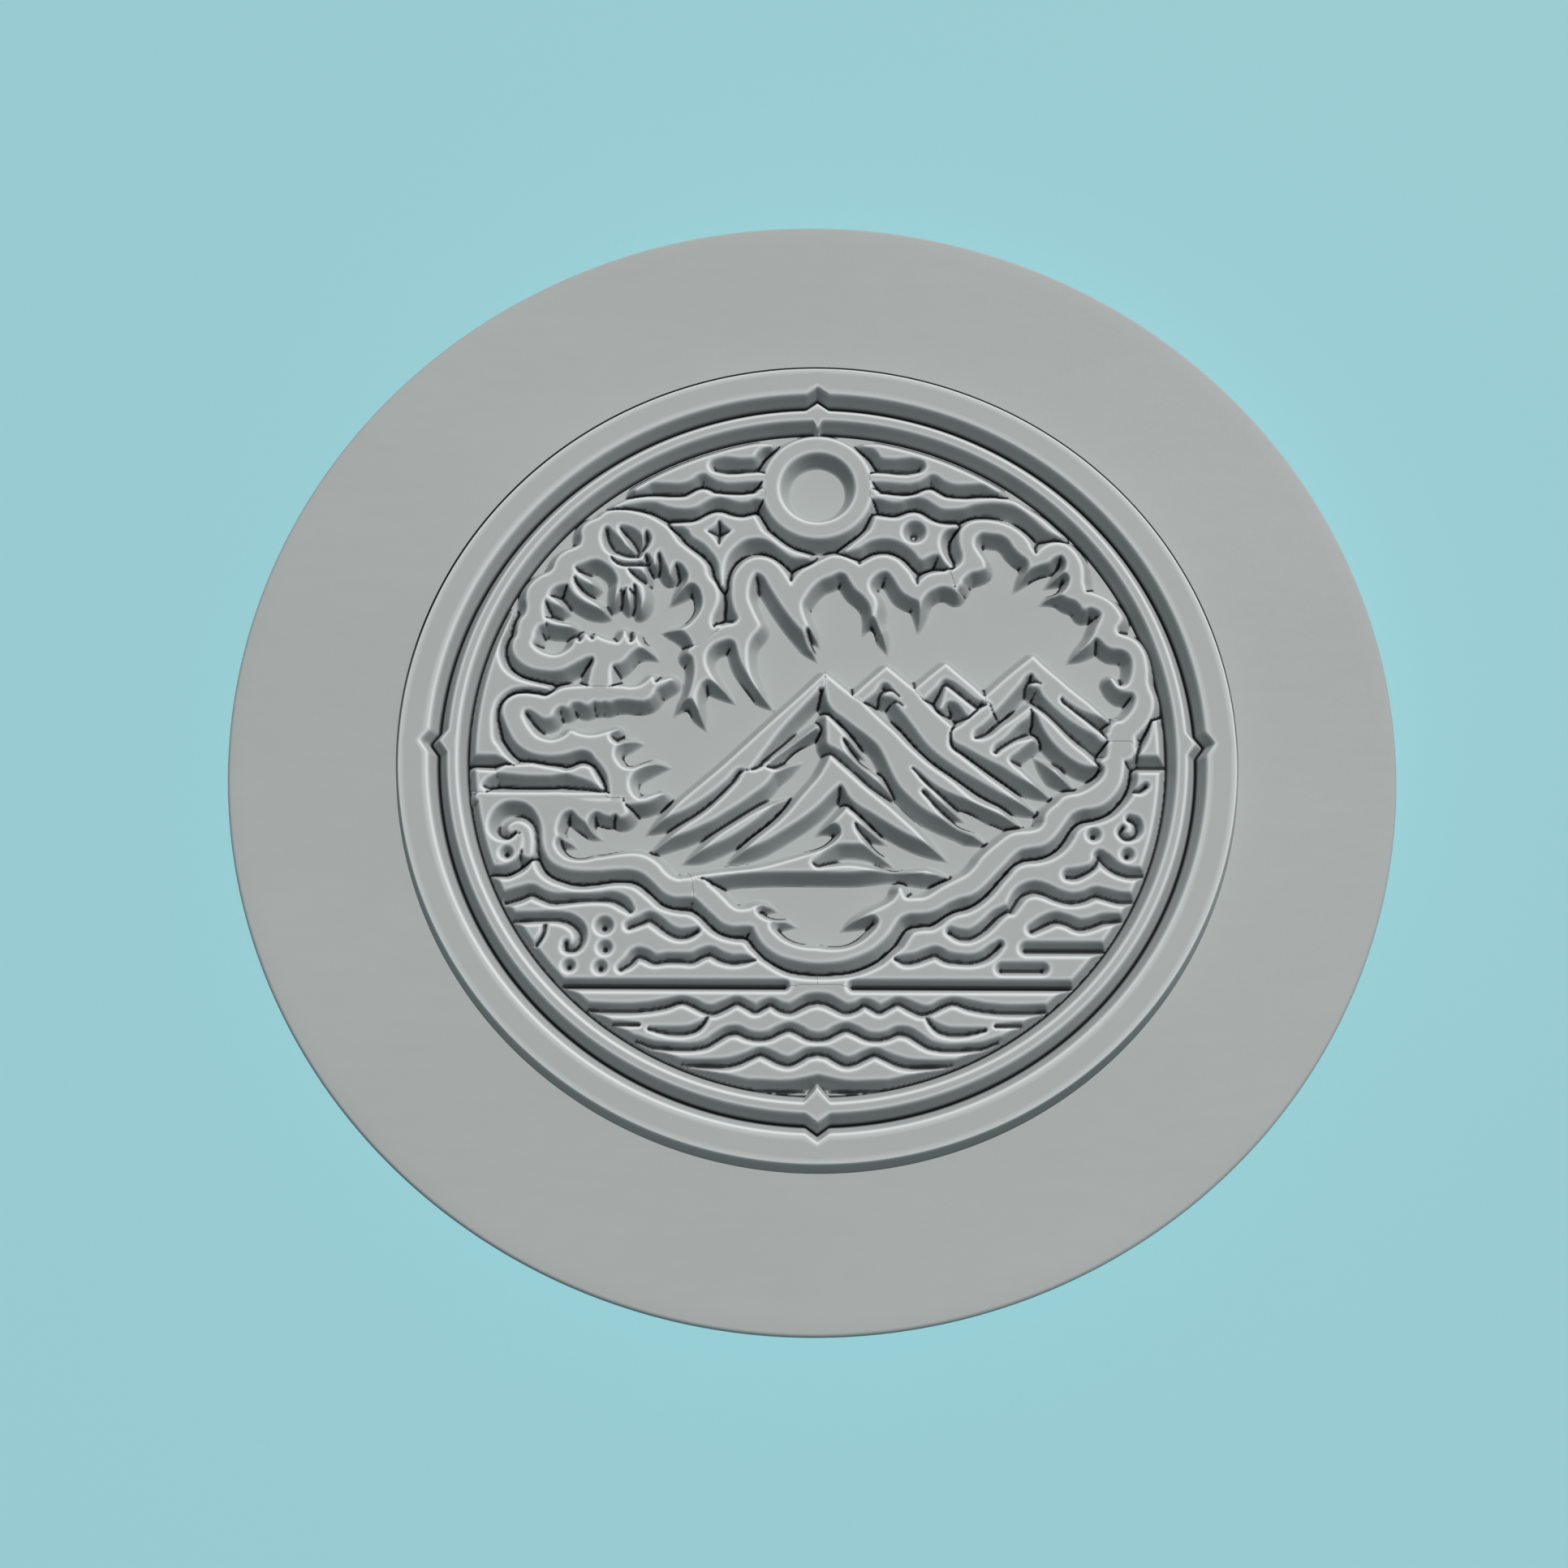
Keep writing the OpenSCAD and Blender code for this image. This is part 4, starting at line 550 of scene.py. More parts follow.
FRONDS = [
    [-7.3, 9.9, 1], [-6.9, 10], [-6.4, 10.1], [-6.1, 10.5], [-6.35, 11.2], [-6.58, 12.2], [-6.6, 13.2],
    [-6.5, 14], [-6.1, 14.75], [-5.5, 15.35], [-4.6, 15.65], [-3.8, 15.5], [-3.2, 15.1], [-2.7, 14.5],
    [-2.35, 13.95], [-2.05, 13.4, 1], [-1.7, 14], [-1.2, 14.55], [-0.5, 14.95], [0.3, 15.4], [1.2, 15.8],
    [2, 15.72], [2.7, 15.4], [3.3, 15.05, 1], [3.9, 15.4], [4.6, 15.75], [5.4, 15.83], [6.2, 15.5],
    [6.8, 14.9], [7.2, 14.4], [7.5, 13.8], [7.8, 13.45, 1], [8.1, 13.8], [8.6, 14.2], [9.3, 14.42],
    [10.35, 14.5, 1], [10.8, 13, 1], [10.2, 13.3], [9.6, 13.35], [9, 13.1], [8.5, 12.7], [8.2, 12.1],
    [8.1, 11.3], [8, 10.6], [7.85, 9.9, 1], [7.92, 10.6], [7.9, 11.4], [7.75, 12], [7.2, 12.35], [6.7, 12.75],
    [6.3, 13.4], [5.9, 14.1], [5.4, 14.6], [4.8, 14.5], [4.3, 14.1], [4, 13.5], [4.15, 12.9], [4.5, 12.4],
    [4.72, 11.8], [4.75, 11.1], [4.8, 10.5], [5.05, 9.8], [5.3, 9], [5.5, 8.1, 1], [5.2, 8.9], [4.9, 9.6],
    [4.6, 10.25], [4.25, 10.5], [3.9, 10.3], [3.55, 9.7, 1], [3.95, 10.9], [3.97, 11.6], [3.6, 12.4],
    [3, 13.05], [2.55, 13.8], [2.2, 14.35], [1.7, 14.5], [1, 14.2], [0.2, 13.85], [-0.4, 13.3], [-0.95, 12.5],
    [-1.25, 11.8], [-1, 10.9], [-0.5, 10.1], [-0.1, 9.4], [0.2, 8.7, 1], [-0.3, 9.3], [-0.7, 9.75],
    [-0.75, 9.2], [-0.45, 8.4], [0, 7.5, 1], [-0.8, 8.5], [-1.4, 9.5], [-2.2, 10.85], [-3, 12.1],
    [-3.7, 13.3], [-4.3, 14.25], [-4.8, 14.45], [-5.15, 14], [-5.37, 13.2], [-5.4, 12.3], [-5.1, 11.4],
    [-4.75, 10.6], [-4.5, 9.95], [-4.7, 9.6], [-5.1, 9.1], [-5.4, 8.4], [-5.45, 7.5], [-5.3, 6.6],
    [-4.9, 5.6], [-4.4, 4.8], [-3.9, 4.1], [-3.4, 3.5, 1], [-4.3, 4.25], [-5, 5.1], [-5.6, 6.2], [-5.95, 7.2],
    [-6.15, 8.1], [-6.4, 8.7], [-6.8, 8.9], [-7.5, 8.75], [-8.2, 8.35], [-8.62, 7.7], [-8.65, 6.9],
    [-8.35, 6.2], [-7.8, 5.5], [-7.1, 4.8], [-6.3, 4, 1], [-7.3, 4.75], [-8, 5.25], [-8.5, 5.5], [-8.9, 5.3],
    [-9.15, 4.7], [-9.2, 4], [-9, 3.2], [-8.75, 2.4], [-8.5, 1.8, 1], [-9, 2.55], [-9.4, 3.3], [-9.8, 3.72],
    [-10.3, 3.72], [-10.7, 3.4], [-11.05, 2.95, 1], [-10.5, 3.75], [-10, 4.4], [-9.65, 5.2], [-9.45, 6],
    [-9.45, 6.8], [-9.6, 7.4], [-9.95, 7.75], [-9.6, 8.2, 1]
]
RIGHT_CANOPY = [
    [10.35, 14.55, 1], [11, 14.95], [11.35, 15.4], [11.4, 15.9], [11.25, 16.6], [11.17, 17.3], [11.25, 17.9],
    [11.6, 18.4], [12.1, 18.72], [12.9, 18.85], [14, 18.75], [15, 18.42], [15.9, 17.8], [16.5, 17.1],
    [16.8, 16.5], [17.1, 16.2, 1], [17.5, 16.55], [18.1, 16.88], [18.9, 17], [19.6, 16.75], [20.1, 16.25],
    [20.45, 15.7], [20.68, 15.1], [20.75, 14.4], [20.75, 13.7], [20.9, 12.92, 1], [21.6, 12.68], [22.4, 12.3],
    [23, 11.8], [23.4, 11.2], [23.58, 10.75], [23.42, 10.35], [23.15, 9.95], [23.2, 9.5], [23.6, 9.25],
    [24.2, 9.05], [24.75, 8.6], [25.15, 7.95], [25.35, 7.2], [25.42, 6.3], [25.4, 5.4], [25.55, 4.8],
    [25.75, 4.2], [25.75, 3.4], [25.5, 2.6], [25.1, 1.95], [24.5, 1.3], [23.95, 0.7, 1], [22.3, 0.6, 1],
    [22.15, 0.95], [22.6, 1.55], [23, 1.95], [23.35, 2.2], [23.75, 2.55], [24.15, 3.05], [24.42, 3.6],
    [24.5, 4.2], [24.3, 4.6], [23.8, 4.7], [23.3, 4.8], [22.95, 5.15], [22.65, 5.7, 1], [22.8, 5.5],
    [23.1, 5.1], [23.5, 5], [23.9, 5.2], [24.2, 5.8], [24.35, 6.6], [24.3, 7.4], [23.9, 8], [23.3, 8.22],
    [22.7, 8.25], [22.3, 8.45], [21.9, 8.9], [21.6, 9.08], [21, 8.5], [20.3, 7.95], [19.4, 7.45, 1],
    [20.1, 8.15], [20.8, 8.7], [21.3, 9.25], [21.7, 10], [22, 10.6], [22.1, 11.1], [21.7, 11.5],
    [21.1, 11.68], [20.65, 11.5], [20.4, 11.85], [20, 12.15], [19.3, 12.3], [18.6, 12.58], [18, 12.5],
    [17.4, 12.3, 1], [18.1, 12.75], [18.9, 13], [19.4, 13.6], [19.5, 14.1], [19.25, 14.35], [18.6, 14.1],
    [17.8, 13.7, 1], [18.7, 14.45], [19.25, 14.95], [19.35, 15.5], [19.05, 15.95], [18.6, 15.75],
    [18.1, 15.2], [17.3, 14.87], [16.4, 14.5], [15.35, 13.35, 1], [15.9, 14.2], [16.35, 14.9], [16.35, 15.5],
    [15.85, 16], [15.4, 16.6], [15, 17.3], [14.5, 17.68], [13.6, 17.85], [12.8, 17.88], [12.3, 17.4],
    [12.25, 16.8], [12.6, 16.1], [13.05, 15.35], [13.1, 14.9], [12.6, 14.65], [12, 14.55], [11.5, 14.2],
    [11.05, 13.6], [10.8, 13.05, 1]
]
print("the pine, its limb and the hanging fronds:", 4, "outlines")

# %% [markdown]
# ### The peaks
# Every peak is a bent ridge over a few slanting ribs that run out into the plain. A rib is a long tapering
# island: a swept band would do for one, but ribs that branch need outlines.

# %% The near peak
RIDGE_WEST_LONG = [
    [0.55, 5.95, 1], [-1.2, 4.2], [-3.2, 2.3], [-5.3, 0.25], [-7, -1.4], [-9, -3.2], [-11, -4.95],
    [-13, -6.6, 1], [-12, -6.1], [-11, -5.5], [-10, -4.9], [-9, -4.25], [-8, -3.5], [-7, -2.6], [-5.9, -1.6],
    [-5.35, -1.75], [-4.8, -1.2], [-4.2, -0.35], [-3.8, 0.2], [-3, 1.3], [-2, 2.5], [-1, 3.6], [-0.2, 4.5],
    [0.2, 5], [0.55, 4.95]
]
RIDGE_WEST_MID = [
    [-5.35, -1.85], [-6, -2.75], [-7, -3.9], [-8, -4.9], [-9, -5.7], [-10, -6.35], [-11, -7], [-12, -7.7],
    [-12.8, -8.25, 1], [-11.8, -7.75], [-11, -7.25], [-10, -6.75], [-9, -6.25], [-8, -5.75], [-7, -5.1],
    [-6, -4.45], [-5, -3.7], [-4, -2.9], [-3.3, -2.1, 1], [-2.2, -1.45], [-1.1, -0.75, 1], [-2.2, -1.25],
    [-3.35, -1.75], [-4, -1.45], [-3.3, -0.85], [-1.9, 0.3], [-0.1, 1.7, 1], [-1.6, 0.7], [-3.2, -0.6],
    [-4.4, -1.75], [-4.9, -1.9]
]
RIDGE_WEST_LOW = [
    [-2.05, -3.55, 1], [-3.5, -4.4], [-5, -5.45], [-6.5, -6.45], [-8, -7.45], [-9.2, -8.25], [-10.2, -8.9, 1],
    [-9, -8.45], [-7.6, -7.6], [-6.2, -6.75], [-4.8, -5.75], [-3.4, -4.75], [-2.3, -3.9]
]
RIDGE_EAST = [
    [0.62, 5.95, 1], [1.7, 5], [2.7, 4.15, 1], [3.4, 3.7, 1], [4.2, 2.85], [5, 2.05], [6, 1.1], [6.7, 0.3],
    [7.5, -0.5], [8.3, -1.25], [9.2, -1.95], [10, -2.5], [11, -3.2], [12, -3.9], [13, -4.5], [14, -5.05],
    [15, -5.65], [15.9, -6.15, 1], [14.4, -5.6], [13.2, -5.1], [12.2, -4.75], [11.3, -4.4], [10.3, -3.85],
    [9.3, -3.15], [8.3, -2.3], [7.5, -1.6], [7.15, -1.5], [7.5, -2.1], [8, -2.75], [9.1, -3.75], [10.1, -4.6],
    [11.2, -5.45, 1], [10, -4.9], [8.9, -3.95], [8.15, -3.2], [7.85, -3.3], [8.5, -4.3], [9.5, -5.25],
    [10.5, -5.95], [11.5, -6.5], [13, -7.35, 1], [11.3, -6.72], [10.2, -6.2], [9.2, -5.62], [8.3, -5],
    [7.5, -4.3], [6.9, -3.7], [6.3, -3], [5.9, -2.3], [5.5, -1.4], [5.1, -0.5], [4.7, 0.2], [4, 0.9],
    [3, 1.7], [2, 2.5], [1.3, 3.05], [0.9, 3.6], [0.72, 4.3], [0.6, 4.95]
]
RIDGE_HEART = [
    [0.72, 2.5, 1], [1.4, 1.85], [2.2, 1.1], [2.9, 0.35], [3.7, -0.5, 1], [3, -0.05], [2.4, 0.55],
    [2.05, 0.75], [2.3, 0.1], [2.8, -0.5], [3.5, -1.2], [4.3, -2], [5.1, -2.8], [6, -3.85, 1], [4.9, -3.1],
    [3.9, -2.25], [2.9, -1.4], [1.9, -0.55], [1.25, -0.02], [0.85, 0.25], [0.76, 1.2]
]
RIDGE_FRONT = [
    [1, -0.75, 1], [1.5, -1.25], [2.5, -2.2], [3.5, -3.15], [4.5, -4], [5.5, -4.85], [6.5, -5.8], [7.5, -6.7],
    [8.5, -7.55], [9.9, -8.6, 1], [8.6, -7.85], [7.4, -7.15], [6.2, -6.45], [5, -5.7], [4, -5.05], [3, -4.42],
    [2.4, -3.8], [2.1, -3.2], [1.75, -2.85], [1.4, -3.1], [0.8, -3.7], [0, -4.55], [-1, -5.4], [-2, -6.1],
    [-3, -6.75], [-4, -7.4], [-5, -8], [-6, -8.5], [-6.9, -8.95, 1], [-5.9, -8.25], [-4.9, -7.55],
    [-3.9, -6.85], [-3, -6.1], [-2.1, -5.15], [-1.2, -4], [-0.4, -3.05], [0.2, -2.3], [0.65, -1.5]
]
FRONT_HILL = [
    [2.2, -4.85, 1], [3, -5.6], [3.8, -6.3], [5.3, -7.3, 1], [4.3, -6.8], [3.4, -6.2], [2.85, -5.95],
    [2.85, -6.3], [3.3, -7], [4, -7.8], [4.8, -8.45], [5.8, -9.1, 1], [4.9, -8.6], [4.2, -8.1], [3.4, -7.8],
    [2.4, -7.65], [1.6, -7.8], [0.8, -8.25], [0, -8.8], [-0.4, -9.1], [-0.2, -9.5], [0.8, -9.5], [2, -9.42],
    [3.5, -9.42], [5, -9.45], [6.5, -9.55], [8, -9.68], [9.2, -9.85], [10.6, -10.15, 1], [9, -10.02],
    [6, -9.9], [3, -9.82], [0, -9.8], [-3, -9.8], [-6, -9.95], [-8, -10.25], [-9, -10.35], [-9.4, -10.35],
    [-8.6, -10.2], [-7.4, -10.02], [-6, -9.87], [-5, -9.75], [-4, -9.55], [-3, -9.28], [-2, -8.92],
    [-1, -8.48], [0, -8.05], [0.8, -7.62], [1.35, -7.2], [1.65, -6.75], [1.5, -6.35], [1.1, -6.2],
    [0.5, -6.3], [-0.1, -6.6, 1], [0.5, -6.15], [1.2, -5.65], [1.8, -5.2]
]
print("the near peak:", 7, "outlines")

# %% The farther peaks
SECOND_PEAK = [
    [2.75, 4.15, 1], [3.9, 5.25], [5.33, 6.55, 1], [6.4, 5.6], [7.45, 4.7, 1], [8, 4, 1], [8.9, 3],
    [10.2, 1.75, 1], [10, 0.6], [10, 0.25], [11, -0.75], [12, -1.6], [13, -2.45], [14, -3.2], [15, -3.85],
    [16, -4.4], [17, -5, 1], [15.8, -4.6], [14.6, -3.95], [13.4, -3.2], [12, -2.35], [11, -1.75], [10, -1.05],
    [9, -0.25], [8.3, 0.5], [7.6, 1.5], [6.9, 2.5], [6.35, 3.2], [6.1, 3.65], [6.7, 3.35, 1], [6.2, 3.85],
    [5.7, 4.2], [5.25, 4.3], [5.7, 4.55], [6.35, 4.15, 1], [5.9, 4.75], [5.45, 5.3], [5.1, 5.4], [4.3, 4.5],
    [3.45, 3.75, 1]
]
THIRD_PEAK = [
    [7.5, 4.7, 1], [8.6, 5.7], [9.9, 6.8, 1], [11, 5.8], [12.2, 4.7], [12.85, 4.05, 1], [12.5, 3.95],
    [12.2, 4.1], [11.2, 4.95], [10.1, 5.65], [9.8, 5.7], [9.1, 5], [8.15, 4, 1], [7.6, 4.6]
]
THIRD_RIDGE = [
    [13.2, 3.55, 1], [12.6, 3.15], [11.8, 2.5], [11, 1.8], [10.4, 1.4], [10.3, 1], [10.4, 0.72], [11.4, 0.1],
    [12.4, -0.5], [13.3, -1], [14, -1.35], [15, -2.05], [16, -2.75], [17, -3.3], [18, -3.75, 1],
    [17.2, -3.15], [16.4, -2.6], [15.5, -1.9], [14.7, -1.2], [14.55, -0.9], [15.2, -0.2], [16.4, 0.75, 1],
    [15.2, 0.42], [14.3, -0.1], [13.6, -0.55], [13.3, -0.3], [13.4, 0.2], [14.2, 0.85], [15.2, 1.9],
    [16.25, 2.9], [16.35, 3.35, 1], [15.2, 2.4], [14.2, 1.7], [13.3, 0.95], [12.4, 0.65], [11.9, 0.8],
    [11.85, 1.2], [12.8, 2.15], [13.4, 2.9]
]
THIRD_CHIP = [
    [9.95, 4.9, 1], [11, 4], [12, 3.15, 1], [11.6, 2.7], [11.1, 3.35], [10.5, 3.85], [9.95, 3.85],
    [9.5, 3.3, 1], [9.75, 4.2]
]
FAR_PEAK = [
    [12.9, 4.1, 1], [14.6, 5.7], [16.65, 7.45, 1], [17.4, 6.65], [18.4, 5.75], [19.4, 4.8], [20.4, 3.95],
    [21.4, 3.15], [22.4, 2.5], [23.25, 2.15, 1], [22.8, 1.95], [22, 2.35], [21, 2.85], [20, 3.35],
    [19.2, 3.9], [18.7, 4.3], [18.6, 4], [19.3, 3.2], [20.2, 2.4], [21.1, 1.7], [22, 1.1], [22.2, 0.95],
    [22.2, 0.65], [21.9, 0.55], [21.2, 1.15], [20.3, 1.7], [19.4, 2.3], [18.6, 3], [17.9, 3.7], [17.4, 4.3],
    [17, 5], [16.55, 5.15], [16.9, 5.3], [17.25, 5.25], [16.85, 5.75], [16.5, 6.2], [16.2, 6.1], [15.5, 5.25],
    [14.7, 4.3], [13.9, 3.4], [13.5, 3], [13.35, 3.6]
]
FAR_RIDGE_MID = [
    [16.45, 3.3, 1], [17.1, 2.85], [18, 1.95], [19, 0.8], [20, -0.15], [21, -0.85], [21.75, -1.2],
    [21.95, -1.6, 1], [21, -1.6], [20, -1.15], [19, -0.45], [18.2, 0.35], [17.6, 1.2], [17.2, 2],
    [16.9, 2.75]
]
FAR_RIDGE_LOW = [
    [16.6, -0.25, 1], [17.1, -0.65], [17.9, -1.4], [18.8, -2.2], [19.9, -3.1, 1], [18.5, -2.35], [17.5, -1.4]
]
print("the farther peaks:", 7, "outlines")

# %% [markdown]
# ### The shore
# A rounded band of shore swings from the left, under the peaks, up to the right edge. The banks close the
# gaps at both sides and are cut off by the picture's round edge.

# %% The shore and the banks
LEFT_SHORE = [
    [-26, -3.7], [-25.3, -3.72], [-24.5, -3.75], [-21, -3.75], [-19.2, -3.75], [-18.4, -3.9], [-17.8, -4.05],
    [-16, -4.12], [-15.9, -4.12], [-14.75, -4.15, 1], [-14.55, -4.6], [-14.35, -5.3], [-14.6, -5.65],
    [-15.1, -5.8], [-15.3, -5.5], [-15.7, -5.75], [-16.3, -5.65], [-16.8, -5.35], [-17.1, -5.6],
    [-17.2, -6.1], [-16.9, -6.6], [-16.3, -7, 1], [-16.9, -6.8], [-17.5, -6.4], [-18.2, -5.7], [-18.7, -5.1],
    [-19.2, -5.3], [-19.5, -6], [-19.5, -6.7], [-19.2, -7.1], [-18.7, -7.3], [-18.2, -7.7, 1], [-18.9, -7.45],
    [-19.4, -7.25], [-19.6, -7.6], [-19.4, -8.1], [-18.8, -8.6], [-17.8, -8.8], [-16.5, -8.65], [-15.5, -8.5],
    [-14.5, -8.45], [-13.5, -8.55], [-12.7, -8.85], [-12, -9.35], [-11.5, -9.95], [-11, -10.35],
    [-10.3, -10.55], [-9.5, -10.4, 1], [-9.3, -11.8, 1], [-10, -11.8], [-10.8, -11.8], [-11.4, -11.55],
    [-12, -11], [-12.6, -10.4], [-13.3, -9.9], [-14, -9.7], [-15, -9.72], [-16.5, -9.87], [-18, -9.95],
    [-18.8, -9.85], [-19.6, -9.55], [-20.2, -9.1], [-20.6, -8.4], [-20.8, -7.6], [-20.85, -6.6], [-20.95, -6],
    [-21.2, -5.4], [-21.6, -4.85], [-22.2, -4.45], [-23, -4.3], [-23.8, -4.4], [-24.4, -4.8], [-24.8, -5.4],
    [-25, -6.1], [-24.9, -6.8], [-24.5, -7.3], [-23.9, -7.55], [-23.3, -7.55], [-22.9, -7.3], [-22.65, -7],
    [-22.2, -6.9, 1], [-22.2, -7.6], [-22.4, -8.3], [-22.8, -8.85], [-23.4, -9.25], [-24.1, -9.4],
    [-24.6, -9.3], [-25, -8], [-25.4, -6.6], [-25.8, -5.2], [-26.05, -4.2]
]
SHORE_BAND = [
    [-9.45, -10.4, 1], [-9, -10.35], [-8.3, -10.85], [-7.6, -11.45], [-7, -12.05], [-6.5, -12.55],
    [-6, -12.8], [-5.3, -12.7], [-4.7, -12.35], [-4.2, -12.2], [-3.6, -12.25], [-3, -12.6, 1], [-3.7, -12.5],
    [-4.2, -12.5], [-4.4, -12.85], [-4, -13.2], [-3.2, -13.4], [-2.3, -13.5], [-1.5, -13.8, 1], [-2.4, -13.7],
    [-3.1, -13.75], [-3.3, -14.1], [-2.8, -14.75], [-2, -15.25], [-1, -15.6], [0, -15.75], [1.2, -15.75],
    [2.3, -15.55], [3.2, -15.15], [3.9, -14.65], [4.45, -14.1], [4.6, -13.6], [4.3, -13.25], [3.6, -13.35],
    [2.9, -13.6], [1.8, -14.1, 1], [2.6, -13.5], [3.4, -13.15], [4.3, -12.82], [5.1, -12.5], [5.7, -12.1],
    [6.1, -11.5], [6.2, -11.15], [6.35, -11.5], [6.5, -11.85], [7.4, -11.95], [8.1, -11.88], [8.7, -11.55],
    [9.3, -11.15], [10, -10.75], [10.7, -10.4], [11.3, -10.05], [11.9, -9.45], [12.4, -8.75], [13, -8.15],
    [13.6, -7.65], [14.2, -7.15], [14.7, -6.85], [15.4, -6.7], [16.2, -6.62], [16.8, -6.42], [17.2, -5.9],
    [17.3, -5.4], [17.6, -4.95], [18.2, -4.45], [18.7, -3.95], [19.2, -3.75], [19.8, -3.65], [20.5, -3.35],
    [21.1, -2.95], [21.6, -2.5], [21.9, -2], [21.95, -1.5], [21.7, -1.05], [22.1, -0.7], [22.22, -0.2],
    [22.25, 0.5, 1], [23.85, 0.6, 1], [23.5, 0.1], [23.38, -0.8], [23.3, -1.6], [23.15, -2.4], [22.8, -3.2],
    [22.2, -3.95], [21.6, -4.42], [20.8, -4.7], [20, -4.8], [19.2, -5.2], [18.7, -5.85], [18.2, -6.55],
    [17.6, -7.25], [17, -7.65], [16, -7.85], [15.2, -8.05], [14.6, -8.55], [14, -9.2], [13.3, -9.95],
    [12.7, -10.6], [12, -11.25], [11.4, -11.6], [10.6, -11.8], [9.8, -12.15], [9.1, -12.6], [8.4, -12.9],
    [7.6, -13], [6.8, -13.05], [6.1, -13.4], [5.7, -13.95], [5.3, -14.6], [4.8, -15.2], [4, -15.9],
    [3, -16.42], [2, -16.75], [1, -16.88], [0, -16.9], [-1, -16.83], [-2, -16.65], [-2.9, -16.35],
    [-3.6, -15.9], [-4.2, -15.3], [-4.6, -14.7], [-4.9, -14.2], [-5.4, -14.08], [-6.4, -14.05], [-7.1, -13.8],
    [-7.6, -13.35], [-8.3, -12.7], [-8.9, -12.1], [-9.25, -11.8, 1]
]
LEFT_BANK = [
    [-26.2, -0.6, 1], [-26.3, 2], [-26, 5], [-25.2, 7.8], [-24.2, 10.2], [-23.9, 10.9, 1], [-24.2, 9.6],
    [-24.6, 8.6], [-24.65, 7.4], [-24.2, 6.3], [-23.2, 5.5], [-22, 5.1], [-20.8, 4.8, 1], [-22.2, 4.9],
    [-23.6, 4.7], [-24.6, 3.8], [-24.9, 2.8], [-24.9, 1.5], [-24.75, 0.5], [-24.4, 0], [-23.9, -0.7],
    [-23.4, -1.2], [-23, -1.5, 1], [-23.8, -0.95], [-24.6, -0.6, 1]
]
BANK_LEDGE = [
    [-26, -1.95, 1], [-18.6, -1.9], [-17.9, -1.6], [-17.4, -1.7], [-17, -2.3], [-16.4, -3.3, 1],
    [-17.2, -2.75], [-17.8, -2.5], [-25.2, -2.5], [-25.6, -3.1], [-25.2, -3.7], [-25.9, -3.7, 1]
]
print("the shore and the banks:", 4, "outlines")

# %% [markdown]
# ### The water
# The water is one flat sheet with wavy grooves. Sweeping a cutter along each groove and subtracting it would
# be slow and fragile, so a groove is a line with a half width at each point, and its distance is enough.
# The low water is the same on both sides, so only its left half is listed.

# %% The water: its north crest, grooves [x, y, half width] and dots [x, y, radius]
WATER = [
    [-28, -10.6, 1], [-23.9, -10.6], [-23.2, -10.6], [-22.5, -10.3], [-21.9, -9.9], [-21.4, -9.2, 1],
    [-21.1, -9.9], [-20.7, -10.4], [-20.1, -10.8], [-19.3, -11.1], [-18.5, -11.35], [-17.5, -11.4],
    [-16.3, -11.25], [-15.4, -11.1], [-14.5, -11.08], [-13.8, -11.25], [-13.3, -11.6], [-12.6, -12.2],
    [-12, -12.75], [-11.3, -13.05], [-10.4, -13.25], [-9.6, -13.35], [-9.1, -13.65], [-8.6, -14.2],
    [-7.9, -14.8], [-7.2, -15.15], [-6.2, -15.4], [-5.5, -15.5], [-5.2, -15.9], [-4.8, -16.3], [-4.4, -16.75],
    [-3.9, -17.1], [-3.2, -17.55], [-2.4, -17.95], [-1.5, -18.15], [0, -18.25], [1.5, -18.2], [2.7, -18.05],
    [3.5, -17.8], [4.4, -17.4], [5, -17.05], [5.4, -16.7], [6.1, -16.1], [6.5, -15.75], [6.9, -15.1],
    [7.25, -14.65], [7.8, -14.5], [8.6, -14.45], [9.3, -14.1], [9.9, -13.6], [10.5, -13.3], [11.3, -13.1],
    [12, -12.75], [12.8, -12.15], [13.4, -11.55], [14, -10.8], [14.6, -10.1], [15.1, -9.55], [15.7, -9.3],
    [16.6, -9.2], [17.4, -9], [18.2, -8.6], [18.9, -8], [19.4, -7.3], [19.8, -6.6], [20.3, -6.25], [21, -6.1],
    [21.9, -5.8], [22.6, -5.4], [23.3, -4.7], [23.8, -4.1], [24.05, -3.7], [24.3, -3.1], [24.45, -2.6],
    [24.5, -1.95, 1], [28, -1.95, 1], [28, -28, 1], [-28, -28, 1]
]
